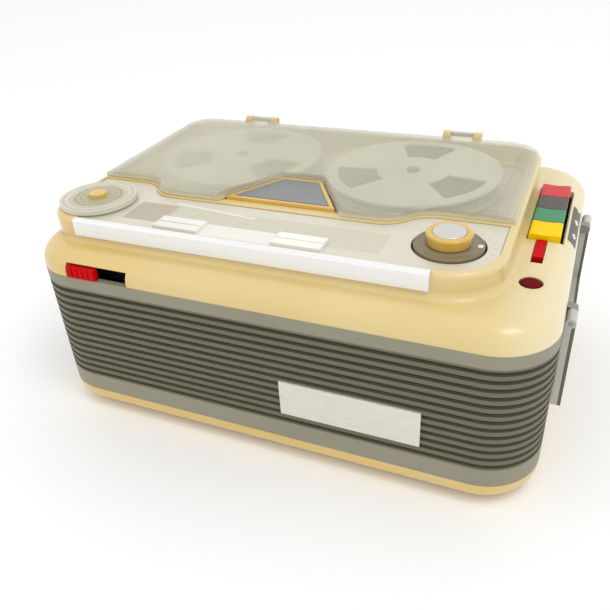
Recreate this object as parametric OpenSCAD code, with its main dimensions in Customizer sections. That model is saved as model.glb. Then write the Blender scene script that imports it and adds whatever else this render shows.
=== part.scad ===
// Portable reel-to-reel tape recorder: an assembly of separate pieces, in millimetres.
// The origin is on the floor under the middle of the case, with the front towards -Y.

/* [Case] */
// Width of the case, left to right
body_w = 280; // [268:1:310]
// Radius of the case's corners seen from above
corner_r = 30; // [24:1:36]
// Thickness of the case's walls
wall = 3.5; // [2.5:0.5:4.5]
// Height of the cream base
base_h = 12.5; // [10:0.5:18]
// Rounding of the base's lower edge
base_fillet = 11; // [6:0.5:12]
// Height of the ribbed waist band
band_h = 77.5; // [72:0.5:95]
// Height of the top shell from the seam up to the shelf
shell_h = 12; // [11:0.5:16]
// Rounding of the top shell's outer edge
shell_fillet = 11; // [8:0.5:12]
// Height of the lips that locate the case's parts
lip_h = 4; // [2:0.5:6]
// Thickness of those lips
lip_t = 2; // [1.5:0.5:3]
// Height of the rubber feet
foot_h = 2; // [1.5:0.5:4]
// Radius of the rubber feet
foot_r = 8; // [6:0.5:10]
// Distance of the feet from the case's left and right sides
foot_inset = 36; // [30:1:50]
// Distance of the case screws from the case's left and right sides
screw_side = 11; // [10.5:0.5:12]
// Distance of the case screws and feet from the case's front and back
screw_end = 22; // [20:0.5:24]
// Radius of the case screws' shanks
screw_r = 2; // [1.5:0.25:2.5]

/* [Ribs] */
// Number of grooves round the front
groove_count = 13; // [10:1:14]
// Distance from groove to groove
groove_pitch = 4.6; // [4.2:0.05:4.8]
// Radius of a groove's section
groove_r = 1.2; // [0.8:0.1:1.4]
// Plain strip from the seam down to the first groove
groove_drop = 9.2; // [6:0.1:10]
// Width of the bare badge plate
badge_w = 73; // [50:1:90]
// Height of the bare badge plate
badge_h = 21; // [15:0.5:25]
// Thickness of the badge plate
badge_t = 1; // [0.6:0.1:1.5]
// Distance of the badge's middle from the case's middle
badge_x = 49.5; // [40:0.5:55]
// Distance from the seam down to the badge's middle
badge_drop = 49.5; // [40:0.5:52]

/* [Deck] */
// Rise of the deck above the shelf
deck_rise = 13; // [12:0.5:16]
// Distance of the deck's wall from the case's left side
deck_left = 4.5; // [3.5:0.5:8]
// Width of the shelf that holds the keys
shelf_w = 27.5; // [27:0.5:30]
// Depth of the ledge ahead of the deck
deck_front = 18.5; // [16:0.5:22]
// Depth of the ledge behind the deck
deck_rear = 10; // [9:0.5:13]
// Radius of the deck's front left corner
deck_r_left = 21.5; // [18:0.5:24]
// Radius of the deck's front right corner
deck_r_right = 28; // [26:0.5:30]
// Radius of the deck's back corners
deck_r_back = 20; // [16:0.5:24]
// Width of the deck's rim
rim_w = 4; // [3:0.5:5]
// Rounding of the rim's outer edge
rim_fillet = 2.5; // [1.5:0.5:3]
// Radius of the hollow blend from the shelf into the deck's walls
deck_blend = 4; // [2:0.5:5]
// Depth of the panel in the middle
panel_mid_d = 40.5; // [38:0.5:44]
// Depth of the panel at its ends
panel_end_d = 55.5; // [52:0.5:60]
// Length of the left wave of the panel's back edge
wave_left = 24; // [20:1:30]
// Length of the right wave of the panel's back edge
wave_right = 30; // [24:1:34]
// Width of the panel's left lobe
lobe_left = 33.5; // [30:0.5:38]
// Width of the panel's right lobe
lobe_right = 38.5; // [36:0.5:44]
// Thickness of the deck panel
panel_t = 1; // [0.6:0.1:1.5]
// Depth of the panel below the rim
panel_drop = 0.5; // [0.3:0.1:1]
// Thickness of the deck's roof under the panel
roof_t = 2.5; // [2:0.5:3.5]
// Width of the ridge between panel and lid
ridge_w = 6; // [5:0.5:7]
// Thickness of the front trim bar
trim_t = 1.6; // [1:0.1:2.5]
// Height of the trim bar's front
trim_h = 8.9; // [8:0.1:10]
// Thickness of the trim bar where it caps the rim
trim_cap = 0.5; // [0.4:0.1:1]
// Depth of the trim bar's cap on the rim
trim_land = 1.8; // [1.4:0.1:2.4]
// Distance of the trim bar's ends from the deck's corners
trim_inset = 2; // [1:0.25:3]

/* [Lid] */
// Height of the lid in its middle
lid_h = 4.8; // [4.4:0.1:6]
// Height of the lid's upright edge
lid_edge = 1.5; // [1.2:0.1:2]
// Thickness of the lid
lid_wall = 2; // [1.5:0.25:2.5]
// Distance of the lid from the deck's outer edge
lid_inset = 2; // [1.5:0.25:3]
// Radius of the lid's domed edges
lid_round = 16; // [12:0.5:20]
// Radius of the lid's hinge pins
hinge_pin_r = 1.2; // [0.8:0.1:1.4]
// Radius of the lid's hinge knuckles
knuckle_r = 2.2; // [2:0.1:2.6]
// Length of each hinge knuckle
knuckle_w = 14; // [10:1:20]
// Distance of the hinges from the lid's middle
hinge_x = 72; // [50:1:85]

/* [Reels] */
// Radius of the reels
reel_r = 51; // [48:0.5:52]
// Gap between the two reels
reel_gap = 10; // [9:0.5:12]
// Distance of the reels from the lid's back wall
reel_margin = 3; // [2:0.5:6]
// Clearance between the reels and the lid's wall round the head cover
reel_clear = 0.9; // [0.5:0.1:4]
// Radius of a reel's hub
reel_hub_r = 16; // [14:0.5:19]
// Thickness of a reel's flange
flange_t = 1.2; // [0.8:0.1:1.5]
// Width of the tape
tape_w = 6.4; // [6.3:0.1:6.6]
// Radius of the wound tape
pack_r = 44; // [30:1:46]
// Radius of the turntables' spindles
spindle_r = 3.5; // [3:0.25:4]
// Radius of the turntables
turntable_r = 22; // [18:0.5:25]
// Width of the head cover at its front
cover_front_w = 64; // [60:1:66]
// Width of the head cover at its back
cover_back_w = 24; // [20:1:25]
// Depth of the head cover
cover_d = 33; // [31:0.5:34]
// Thickness of the head cover
cover_t = 1.5; // [1:0.25:1.75]
// Rise of the head cover above the deck's rim
cover_rise = 1.8; // [1.6:0.1:3]

/* [Controls] */
// Radius of the clear dial
dial_r = 21.5; // [18:0.5:22]
// Thickness of the clear dial
dial_t = 2.5; // [1.5:0.25:3]
// Radius of the dial's cap
dial_cap_r = 5; // [4:0.5:7]
// Radius of the rotary controls' shafts
shaft_r = 3; // [2.5:0.25:3.5]
// Radius of the recess round the tone ring
recess_r = 17.6; // [16:0.2:19]
// Gap between the tone ring and its recess
ring_gap = 1; // [0.6:0.1:1.5]
// Radius of the volume knob at its top
knob_r = 11; // [9:0.5:12.5]
// Height of the volume knob
knob_h = 5.8; // [5:0.2:9]
// Radius of the metal cap in the volume knob
knob_cap_r = 8; // [6:0.5:8.5]
// Length of a key along the row
key_len = 16.2; // [15:0.2:16.6]
// Gap from key to key
key_gap = 0.6; // [0.5:0.1:1]
// Width of a key across the row
key_w = 15.6; // [14:0.2:16]
// Rise of the keys above the shelf
key_rise = 3; // [2.6:0.2:4]
// Distance from the case's front to the first key
key_front = 89.5; // [88:0.1:91]
// Distance from the deck's wall to the keys
key_side = 3.5; // [3:0.25:4]
// Radius of the keys' shaft
key_shaft_r = 2; // [1.5:0.25:2.25]
// Angle that a key is pressed through
key_press = 8; // [5:0.5:9]
// Radius of the round record button
button_r = 5.2; // [4.5:0.1:6]
// Width of the small red slide
lock_w = 5; // [4.5:0.25:7]
// Travel of the small red slide
lock_travel = 4.5; // [3:0.25:5]
// Width of the power slide's thumb piece
thumb_w = 17.5; // [14:0.5:19]
// Travel of the power slide
thumb_travel = 18; // [12:0.5:19]
// Height of the power slide's slot
slot_h = 7.5; // [7:0.25:8]

/* [Handle] */
// Distance between the handle's arms, middle to middle
handle_span = 106; // [96:1:116]
// Width of a handle arm
arm_w = 10; // [8:0.5:12]
// Length of the handle from its pin to the grip's lower edge
handle_len = 48; // [42:0.5:54]
// Height of the grip
grip_h = 14; // [12:0.5:18]
// Thickness of the handle's frame
handle_t = 3.2; // [2.6:0.1:3.6]
// Thickness of the dark cover on the handle
handle_cover_t = 1.6; // [1:0.1:1.7]
// Distance from the seam down to the handle's pins
handle_drop = 4.5; // [4:0.25:8]

/* [Drive] */
// Thickness of the chassis plate
chassis_t = 1.5; // [1.2:0.1:2.5]
// Depth of the reel well below the rim
well_d = 12; // [11.8:0.1:12.5]
// Radius of the flywheel
flywheel_r = 35; // [30:0.5:36]
// Thickness of the flywheel
flywheel_t = 10; // [8:0.5:11]
// Radius of the capstan
capstan_r = 2; // [1.5:0.25:2]
// Radius of the motor pulley
pulley_r = 6; // [4:0.5:7]
// Radius of the motor
motor_r = 28; // [24:0.5:29]
// Height of the motor
motor_h = 46; // [36:1:50]
// Thickness of the drive belt
belt_t = 1.6; // [1:0.1:2]
// Radius of the pinch roller
roller_r = 5; // [4:0.25:5]
// Radius of the loudspeaker
speaker_r = 33; // [26:0.5:34]
// Depth of the loudspeaker
speaker_d = 38; // [30:0.5:44]

/* [Fits] */
// Gap between parts that are laid into each other
lay_gap = 0.3; // [0.2:0.05:0.4]
// Clearance of a shaft in its bearing, on the radius
run_gap = 0.08; // [0.04:0.01:0.1]
// End gap of turning parts
spin_gap = 0.3; // [0.2:0.05:0.5]

/* [Hidden] */
$fn = 64;

cream = "#e8d39a";
waist_grey = "#66614f";
dark = "#3a352c";
steel = "#b9bcbe";
eps = 0.02;

// Case levels and boxes, each box as [x0, y0, x1, y1]
// Distances from the front to the reels' middles and to the back follow from what lies between them,
// rounded to a tenth
half_w = body_w / 2;
cover_gap = 1.2;
cover_slope = (cover_front_w - cover_back_w) / 2 / cover_d;
cover_side = sqrt(1 + cover_slope * cover_slope);
reel_side = reel_r + reel_gap / 2;
reel_reach = (reel_r + reel_clear + lid_wall + cover_gap) * cover_side + cover_front_w / 2 - reel_side;
cover_depth = deck_front + panel_mid_d + ridge_w + lay_gap;
reel_depth = tenth(cover_depth + reel_reach / cover_slope);
body_d = reel_depth + reel_r + reel_margin + lid_wall + lid_inset + deck_rear;
half_d = body_d / 2;
band_z = foot_h + base_h;
seam_z = band_z + band_h;
shelf_z = seam_z + shell_h;
deck_z = shelf_z + deck_rise;
floor_z = foot_h + wall;
shelf_low_z = shelf_z - wall;
edge_r = min(shell_fillet, shell_h - 1);
base_r = min(base_fillet, base_h - 1);
case_box = [-half_w, -half_d, half_w, half_d];
case_r = [corner_r, corner_r, corner_r, corner_r];
deck_box = [-half_w + deck_left, -half_d + deck_front, half_w - shelf_w, half_d - deck_rear];
deck_r = [deck_r_left, deck_r_right, deck_r_back, deck_r_back];
well_box = grown(deck_box, -rim_w);
well_r = shrunk(deck_r, rim_w);

// Deck levels
panel_z = deck_z - panel_drop - panel_t;
roof_z = panel_z - roof_t;
chassis_z = deck_z - well_d;
chassis_low_z = chassis_z - chassis_t;
ledge_w = 5;
ledge_t = 2.5;

// The panel's wavy back edge, where each wave's middle lies on the line of the points beside it
mid_y = deck_box[1] + panel_mid_d;
end_y = deck_box[1] + panel_end_d;
wave_h = panel_end_d - panel_mid_d;
left_wave = [deck_box[0] + lobe_left, deck_box[0] + lobe_left + wave_left];
right_wave = [deck_box[2] - lobe_right - wave_right, deck_box[2] - lobe_right];
left_wave_r = wave_radius(wave_left);
right_wave_r = wave_radius(wave_right);
left_turn = wave_angle(wave_left);
right_turn = wave_angle(wave_right);
zone_margin = 20;
front_line = concat([[deck_box[0] - zone_margin, end_y]],
  arc([left_wave[0], end_y - left_wave_r], left_wave_r, 90, 90 - left_turn, skip = 1),
  arc([left_wave[1], mid_y + left_wave_r], left_wave_r, 270 - left_turn, 270, first = 1),
  arc([right_wave[0], mid_y + right_wave_r], right_wave_r, 270, 270 + right_turn, skip = 1),
  arc([right_wave[1], end_y - right_wave_r], right_wave_r, 90 + right_turn, 90, first = 1),
  [[deck_box[2] + zone_margin, end_y]]);

// Ends and lower edge of the trim bar
trim_x = [deck_box[0] + deck_r_left + trim_inset, deck_box[2] - deck_r_right - trim_inset];
trim_z = max(deck_z - trim_h, shelf_z + deck_blend + 0.1);

// Lid
lid_z = deck_z + lay_gap;
lid_top_z = lid_z + lid_h;
lid_rise = lid_h - lid_edge;
lid_run = sqrt(lid_round * lid_round - (lid_round - lid_rise) * (lid_round - lid_rise));
ridge_show = 2.4;
nose_r = lid_rise + 1.7;
nose_in = nose_r - 1;
nose_z = lid_top_z - nose_r + 0.1;
lid_box = grown(deck_box, -lid_inset);
lid_r = shrunk(deck_r, lid_inset);
lid_x = (lid_box[0] + lid_box[2]) / 2;
hinge_y = deck_box[3] + knuckle_r + 1.8;
hinge_z = lid_z + knuckle_r;
lug_w = 5;

// Reels and tape
reel_y = -half_d + reel_depth;
supply_x = lid_x - reel_side;
take_up_x = lid_x + reel_side;
turntable_z = chassis_z + spin_gap;
turntable_t = 3;
reel_z = turntable_z + turntable_t + lay_gap;
tape_z = reel_z + flange_t;
reel_top_z = tape_z + tape_w + flange_t;
spindle_h = reel_top_z + 1 - turntable_z;
turntable_shaft_r = 3;
turntable_shaft_h = 9;

// Head cover and tape path
cover_y = -half_d + cover_depth;
cover_z = deck_z + cover_rise;
tape_back = 14.8;
tape_y = cover_y + tape_back;
inlay_edge = 2.2;
inlay_sink = 0.6;
inlay_t = 0.8;
guide_r = 1.2;
guide_foot_r = 1.8;
guide_reach = tenth(cover_half(tape_back, -cover_t)) - guide_foot_r - 0.8;
erase_w = 7;
erase_x = lid_x - guide_reach + guide_foot_r + 0.5 + erase_w / 2;
capstan = [lid_x + guide_reach - 5.7, tape_y + capstan_r + 0.2];
head_w = 11;
head_x = (erase_x + erase_w / 2 + capstan[0] - capstan_r) / 2;
roller_rest = [capstan[0], capstan[1] - capstan_r - roller_r - 2.6];
pinch_end_r = 2.6;
pinch_y = roller_rest[1] - 2.1;
pinch_pivot = [lid_x + tenth(cover_half(pinch_y - cover_y, -cover_t)) - pinch_end_r - 0.9, pinch_y];
pinch_arm_t = 1.5;
pinch_z = chassis_z + spin_gap;
roller_h = 8;
roller_pin_r = 1.2;
post_r = 1.5;

// Rotary controls
dial_x = deck_box[0] + deck_r_left;
dial_y = deck_box[1] + deck_r_left + 3.5;
dial_z = deck_z + lay_gap;
knob_x = deck_box[2] - deck_r_right;
knob_y = deck_box[1] + deck_r_right;
control_r = 11;
control_h = 14;
cup_floor = 1.2;
cup_depth = 2;
cup_wall = 1.2;
cup_z = roof_z - cup_depth;
ring_r = recess_r - ring_gap;
ring_z = cup_z + spin_gap;
ring_top_z = deck_z + 1;
knob_z = ring_top_z + spin_gap;
knob_top_z = knob_z + knob_h;
cap_sink = 1.2;
sleeve_r = 5.5;

// Keys
key_x = deck_box[2] + key_side;
key_pitch = key_len + key_gap;
key_y = -half_d + key_front;
key_count = 4;
key_row = key_count * key_pitch - key_gap;
pivot_x = key_x - 9;
hub_r = 3.8;
pivot_z = shelf_low_z - hub_r - 1.2;
key_top_z = shelf_z + key_rise;
key_lever_h = 4;
key_edge = 1;
key_dish_r = 35;
key_dish_d = 0.4;
lever_inset = 2;
key_swing = (key_top_z - pivot_z) * sin(key_press);
key_well = [key_x - 2 * lay_gap, key_y - 2 * lay_gap, key_x + key_w + key_swing + 0.4,
  key_y + key_row + 2 * lay_gap];
bracket_t = 2.5;

// Small controls on the shelf and the front
button = [key_x + 7, -half_d + deck_front + 28];
button_flange = 2;
dish_r = 8;
dish_d = 1.2;
lock_x = key_x + 7;
lock_y = key_y - 0.9;
lock_len = 19;
lock_rise = 0.6;
lock_flange = 3;
slot_gap = 1.5;
slot_w = thumb_w + thumb_travel + 2 * slot_gap;
slot_x = -half_w + 31;
thumb_proud = 0.8;
thumb_d = 3;
neck_h = 3;
neck_d = 4;
switch_y = -half_d + edge_r + 0.2;
switch_d = 10;
switch_h = 13;
label_proud = 0.2;
label_sink = 0.4;
label_start = 7.5;
label_len = 42;

// Handle
handle_z = seam_z - handle_drop;
barrel_r = 2.5;
handle_x = half_w + barrel_r + lay_gap;
handle_pin_r = 1;
handle_out = handle_x + barrel_r;
lug_len = 5;
arm_sides = [for (s = [-1, 1]) [s * handle_span / 2 - arm_w / 2, s * handle_span / 2 + arm_w / 2]];
lug_far = handle_span / 2 - arm_w / 2 - lay_gap;
lug_sides = [[-lug_far, -lug_far + lug_len], [lug_far - lug_len, lug_far]];

// Drive
motor_pos = [deck_box[2] - 37.5, reel_y + 3];
motor_top_z = chassis_low_z - 22;
motor_shaft_r = 2.5;
motor_post_r = 3;
bush_flange = 1.5;
bush_wall = 3;
flywheel_z = chassis_low_z - 6 - flywheel_t;
belt_w = 4;
belt_z = flywheel_z + flywheel_t / 2 - belt_w / 2;
drive_line = motor_pos - capstan;
drive_angle = atan2(drive_line[1], drive_line[0]);
bracket_reach = flywheel_r + 7;
bracket_z = flywheel_z - 8;
bracket_post_r = 3;

// Electrics
speaker_x = -half_w + 85;
speaker_z = band_z + band_h / 2;
speaker_rim = 3;
sound_slot = 1;
board_w = 115;
board_d = 58;
board_box = [half_w - 20 - board_w, -half_d + 12, half_w - 20, -half_d + 12 + board_d];
board_z = floor_z + 18;
board_t = 1.6;
board_post_r = 3.5;
plate_w = 92;
plate_h = 30;
plate_t = 3;
plate_x = -half_w + corner_r + plate_w / 2 + 4;
plate_z = band_z + 36;
window_margin = 4;
inlet_w = 24;
inlet_h = 13;
inlet_d = 10;
inlet_wall = 2;
inlet_pin_x = 7;
inlet_pin_r = 2;
inlet_x = plate_x + 26;
core_w = 56;
core_d = 40;
core_h = 46;
core_x = -half_w + 55;
core_y = half_d - 62;
boss_r = 5;
boss_split_z = band_z + 45;
screw_head_r = 3.6;
screw_head_h = 2;
screw_sink = 1;
chassis_screw_r = 1.25;
chassis_head_r = 2.2;
screw_spots = [for (x = [-1, 1], y = [-1, 1]) [x * (half_w - screw_side), y * (half_d - screw_end)]];
chassis_spots = [for (x = [well_box[0] + 30, lid_x, well_box[2] - 30], s = [0, 1])
  [x, s == 0 ? well_box[1] + ledge_w / 2 : well_box[3] - ledge_w / 2]];

function tenth(v) = round(10 * v) / 10;
function grown(box, d) = [box[0] - d, box[1] - d, box[2] + d, box[3] + d];
function shrunk(r, d) = [for (v = r) max(v - d, 0.5)];
// Points along an arc in n steps, from the first one wanted and without some at its end
function arc(c, r, a0, a1, n = 6, first = 0, skip = 0) =
  [for (i = [first:n - skip]) let (a = a0 + (a1 - a0) * i / n) [c[0] + r * cos(a), c[1] + r * sin(a)]];
function wave_radius(length) = (length * length + wave_h * wave_h) / (4 * wave_h);
function wave_angle(length) = 2 * atan(wave_h / length);
// Half width of the head cover at a distance behind its front, grown by a gap
function cover_half(d, gap) = cover_front_w / 2 - d * cover_slope + gap * cover_side;

module quarter(r) {
  intersection() {
    circle(r);
    square(r);
  }
}

// Rounded rectangle, with a radius for each corner: front left, front right, back right, back left
module plan(box, r) {
  polygon([[box[0] + r[0], box[1]], [box[2] - r[1], box[1]], [box[2] - r[1], box[1] + r[1]],
    [box[2], box[1] + r[1]], [box[2], box[3] - r[2]], [box[2] - r[2], box[3] - r[2]],
    [box[2] - r[2], box[3]], [box[0] + r[3], box[3]], [box[0] + r[3], box[3] - r[3]],
    [box[0], box[3] - r[3]], [box[0], box[1] + r[0]], [box[0] + r[0], box[1] + r[0]]]);
  translate([box[0] + r[0], box[1] + r[0]]) rotate(180) quarter(r[0]);
  translate([box[2] - r[1], box[1] + r[1]]) rotate(270) quarter(r[1]);
  translate([box[2] - r[2], box[3] - r[2]]) quarter(r[2]);
  translate([box[0] + r[3], box[3] - r[3]]) rotate(90) quarter(r[3]);
}

// Sweeps a wall's section round such a plan: section x runs outward from the edge, y is the height.
// Sides and corners are numbered from the front and the front left.
module swept(box, r, sides = [0:3], corners = [0:3]) {
  starts = [[box[2] - r[1], box[1]], [box[2], box[3] - r[2]], [box[0] + r[3], box[3]],
    [box[0], box[1] + r[0]]];
  lengths = [box[2] - box[0] - r[0] - r[1], box[3] - box[1] - r[1] - r[2],
    box[2] - box[0] - r[2] - r[3], box[3] - box[1] - r[3] - r[0]];
  centres = [[box[0] + r[0], box[1] + r[0]], [box[2] - r[1], box[1] + r[1]],
    [box[2] - r[2], box[3] - r[2]], [box[0] + r[3], box[3] - r[3]]];
  for (i = sides)
    translate(starts[i]) rotate([90, 0, 90 * i - 90]) linear_extrude(lengths[i]) children();
  for (i = corners)
    translate(centres[i]) rotate(180 + 90 * i) rotate_extrude(angle = 90) translate([r[i], 0]) children();
}

// Block on such a plan whose top falls to its edges over a run, as an arc of a radius
module dome_block(box, r, z0, z1, radius, run) {
  swept(box, r) translate([-run, 0]) intersection() {
    translate([0, z1 - radius]) circle(radius);
    translate([0, z0]) square([run, z1 - z0]);
  }
  translate([0, 0, z0]) linear_extrude(z1 - z0) plan(grown(box, -run), shrunk(r, run));
}

// Part of the deck ahead of the panel's wavy back edge, which is moved back by a distance
module front_zone(back) {
  ahead = deck_box[1] - 2 * zone_margin;
  translate([0, back]) polygon(concat([[deck_box[0] - zone_margin, ahead]], front_line,
    [[deck_box[2] + zone_margin, ahead]]));
}

// Plan of the head cover, grown by a gap and carried forward by a reach
module cover_plan(gap = 0, reach = 0) {
  front = cover_half(-reach, gap);
  back = cover_half(cover_d + gap, gap);
  polygon([[lid_x - front, cover_y - reach], [lid_x + front, cover_y - reach],
    [lid_x + back, cover_y + cover_d + gap], [lid_x - back, cover_y + cover_d + gap]]);
}

module lid_plan(inset) {
  difference() {
    plan(grown(lid_box, -inset), shrunk(lid_r, inset));
    front_zone(ridge_show + inset);
    cover_plan(cover_gap + inset, 20);
  }
}

// What is cut away to round the lid's front edge: section x runs from the edge into the lid
module lid_front_section() {
  difference() {
    translate([-1, nose_z]) square([nose_in + 1, nose_r + 1]);
    translate([nose_in, nose_z]) circle(nose_r);
  }
}

module lid_front_step(from, to) {
  overlap = 1;
  step = to - from;
  translate([from[0], from[1] + ridge_show]) rotate(atan2(step[1], step[0])) translate([-overlap, 0])
    rotate([90, 0, 90]) linear_extrude(norm(step) + 2 * overlap) lid_front_section();
}

// Child whose edge along the first steps of the front line is rounded, one step after the other
module front_rounded(count) {
  difference() {
    if (count > 1) front_rounded(count - 1) children();
    else children();
    lid_front_step(front_line[count - 1], front_line[count]);
  }
}

module box3(x0, x1, y0, y1, z0, z1) {
  translate([x0, y0, z0]) cube([x1 - x0, y1 - y0, z1 - z0]);
}

module rod(x, y, z0, z1, r) {
  translate([x, y, z0]) cylinder(r = r, h = z1 - z0);
}

module rod_along_y(x, z, y0, y1, r) {
  translate([x, y0, z]) rotate([-90, 0, 0]) cylinder(r = r, h = y1 - y0);
}

module rod_along_x(y, z, x0, x1, r) {
  translate([x0, y, z]) rotate([0, 90, 0]) cylinder(r = r, h = x1 - x0);
}

module base_tray() {
  color(cream) difference() {
    union() {
      swept(case_box, case_r) {
        difference() {
          union() {
            translate([-base_r, foot_h + base_r]) mirror([0, 1]) quarter(base_r);
            translate([-base_r, foot_h + base_r]) square([base_r, base_h - base_r]);
          }
          translate([-base_r, foot_h + base_r]) mirror([0, 1]) quarter(base_r - wall);
          translate([-base_r, foot_h + base_r]) square([base_r - wall, base_h]);
        }
        translate([-wall - lay_gap - lip_t, band_z - lip_h]) square([lay_gap + lip_t + eps, lip_h]);
        translate([-wall - lay_gap - lip_t, band_z - eps]) square([lip_t, lip_h]);
      }
      translate([0, 0, foot_h]) linear_extrude(wall)
        plan(grown(case_box, -base_r), shrunk(case_r, base_r));
      for (s = screw_spots) rod(s[0], s[1], floor_z - eps, boss_split_z, boss_r);
      for (x = [board_box[0] + 6, board_box[2] - 6], y = [board_box[1] + 6, board_box[3] - 6])
        rod(x, y, floor_z - eps, board_z, board_post_r);
    }
    for (s = screw_spots) {
      rod(s[0], s[1], 0, boss_split_z + 1, screw_r + lay_gap);
      rod(s[0], s[1], 0, foot_h + screw_sink + screw_head_h, screw_head_r + lay_gap);
    }
    for (i = [-4:4]) box3(-60, 60, i * 9 - 1.5, i * 9 + 1.5, 0, floor_z + 1);
  }
}

module band_section(grooved) {
  difference() {
    translate([-wall, band_z]) square([wall, band_h]);
    if (grooved)
      for (i = [0:groove_count - 1])
        translate([-groove_r / 2, seam_z - groove_drop - i * groove_pitch]) circle(groove_r);
  }
}

// Slot through the bottom of a groove, as long as the loudspeaker's cone is there
module sound_opening(z) {
  cone_r = speaker_r - speaker_rim - 3;
  if (abs(z - speaker_z) < cone_r - 3) {
    half = sqrt(cone_r * cone_r - (z - speaker_z) * (z - speaker_z));
    box3(speaker_x - half, speaker_x + half, -half_d - 1, -half_d + wall + 1,
      z - sound_slot / 2, z + sound_slot / 2);
  }
}

module cabinet_band() {
  color(waist_grey) difference() {
    union() {
      swept(case_box, case_r, sides = [0], corners = [0, 1]) band_section(true);
      swept(case_box, case_r, sides = [1, 2, 3], corners = [2, 3]) band_section(false);
    }
    translate([plate_x, half_d, plate_z])
      cube([plate_w - 2 * window_margin, 3 * wall, plate_h - 2 * window_margin], center = true);
    for (i = [0:groove_count - 1]) sound_opening(seam_z - groove_drop - i * groove_pitch);
  }
}

// Outer wall of the top shell with its rounded edge and locating lip
module shell_section() {
  centre_z = shelf_z - edge_r;
  difference() {
    union() {
      translate([-edge_r, centre_z]) quarter(edge_r);
      translate([-edge_r, seam_z]) square([edge_r, centre_z - seam_z]);
    }
    translate([-edge_r, centre_z]) quarter(edge_r - wall);
    translate([-edge_r, seam_z - 1]) square([edge_r - wall, centre_z - seam_z + 1]);
  }
  translate([-wall - lay_gap - lip_t, seam_z - lip_h]) square([lip_t, lip_h + 1]);
  translate([-wall - lay_gap - lip_t, seam_z]) square([lip_t + lay_gap + eps, 1]);
}

// Wall of the raised deck with its rim and the ledge that the chassis hangs from
module deck_section() {
  translate([-rim_w, shelf_low_z]) square([rim_w, deck_z - rim_fillet - shelf_low_z]);
  translate([-rim_w, deck_z - rim_fillet - eps]) square([rim_w - rim_fillet, rim_fillet + eps]);
  translate([-rim_fillet, deck_z - rim_fillet]) quarter(rim_fillet);
  translate([-rim_w - ledge_w, chassis_z]) square([ledge_w + eps, ledge_t]);
}

// Hollow blend of a radius at the foot of the deck's wall
module blend_section(r) {
  difference() {
    translate([-eps, shelf_z - wall / 2]) square([r + eps, wall / 2 + r]);
    translate([r, shelf_z + r]) circle(r);
  }
}

// That blend where it fades out round the deck's front left corner
module blend_fade() {
  steps = 6;
  step = 30 / steps;
  overlap = 3;
  for (i = [1:steps])
    translate([deck_box[0] + deck_r_left, deck_box[1] + deck_r_left]) rotate(270 - i * step)
      rotate_extrude(angle = i * step + overlap) translate([deck_r_left, 0])
        blend_section(deck_blend * (1 - (i - 0.5) / steps));
}

module hinge_lugs() {
  for (s = [-1, 1], e = [-1, 1]) {
    x = lid_x + s * hinge_x + e * (knuckle_w / 2 + lay_gap + lug_w / 2);
    box3(x - lug_w / 2, x + lug_w / 2, deck_box[3] - eps, hinge_y + knuckle_r, shelf_low_z, hinge_z);
    rod_along_x(hinge_y, hinge_z, x - lug_w / 2, x + lug_w / 2, knuckle_r);
  }
}

module shell_openings() {
  box3(key_well[0], key_well[2], key_well[1], key_well[3], shelf_low_z - 1, shelf_z + 1);
  box3(lock_x - lock_w / 2 - lay_gap, lock_x + lock_w / 2 + lay_gap,
    lock_y - lock_len - lock_travel - lay_gap, key_well[1] + 1, shelf_low_z - 1, shelf_z + 1);
  rod(button[0], button[1], shelf_low_z - 1, shelf_z + 1, button_r + lay_gap);
  dish_sphere = (dish_r * dish_r + dish_d * dish_d) / (2 * dish_d);
  intersection() {
    translate([button[0], button[1], shelf_z + dish_sphere - dish_d]) sphere(dish_sphere, $fn = 128);
    rod(button[0], button[1], shelf_low_z, shelf_z + 1, dish_r + 0.5);
  }
  box3(slot_x, slot_x + slot_w, -half_d - 1, switch_y, seam_z - lip_h - 1, seam_z + slot_h);
  label_strip(edge_r + 1);
  box3(trim_x[0], trim_x[1], deck_box[1] + trim_land, well_box[1] + 1, panel_z, deck_z + 1);
  rod(dial_x, dial_y, roof_z - 1, panel_z + 1, shaft_r + lay_gap);
  rod(knob_x, knob_y, roof_z - 1, panel_z + 1, recess_r);
  for (s = [-1, 1])
    rod_along_x(hinge_y, hinge_z, lid_x + s * hinge_x - knuckle_w, lid_x + s * hinge_x + knuckle_w,
      hinge_pin_r);
  for (s = screw_spots) rod(s[0], s[1], boss_split_z - 1, shelf_low_z - 2, screw_r);
  translate([0, 0, chassis_low_z - lay_gap]) linear_extrude(chassis_t + lay_gap) plan(well_box, well_r);
  for (s = chassis_spots) rod(s[0], s[1], chassis_z - 1, chassis_z + ledge_t - 0.5, chassis_screw_r);
}

module top_shell() {
  color(cream) difference() {
    union() {
      swept(case_box, case_r) shell_section();
      translate([0, 0, shelf_low_z]) linear_extrude(wall) difference() {
        plan(grown(case_box, -edge_r), shrunk(case_r, edge_r));
        plan(well_box, well_r);
      }
      swept(deck_box, deck_r) deck_section();
      swept(deck_box, deck_r, sides = [0, 1], corners = [1, 2]) blend_section(deck_blend);
      blend_fade();
      translate([0, 0, roof_z]) linear_extrude(roof_t) intersection() {
        plan(well_box, well_r);
        front_zone(eps);
      }
      translate([0, 0, chassis_z]) linear_extrude(deck_z - chassis_z) difference() {
        intersection() {
          plan(well_box, well_r);
          front_zone(ridge_w);
        }
        front_zone(0);
      }
      hinge_lugs();
      for (s = screw_spots) rod(s[0], s[1], boss_split_z, shelf_low_z + eps, boss_r);
    }
    shell_openings();
  }
}

module rubber_feet() {
  color("#2b2a28") {
    for (x = [-1, 1], y = [-1, 1])
      rod(x * (half_w - foot_inset), y * (half_d - screw_end), 0, foot_h, foot_r);
    for (y = [-1, 1], z = [band_z + 14, seam_z - 16])
      rod_along_x(y * half_d / 2, z, -handle_out, -half_w, foot_r);
  }
}

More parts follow.
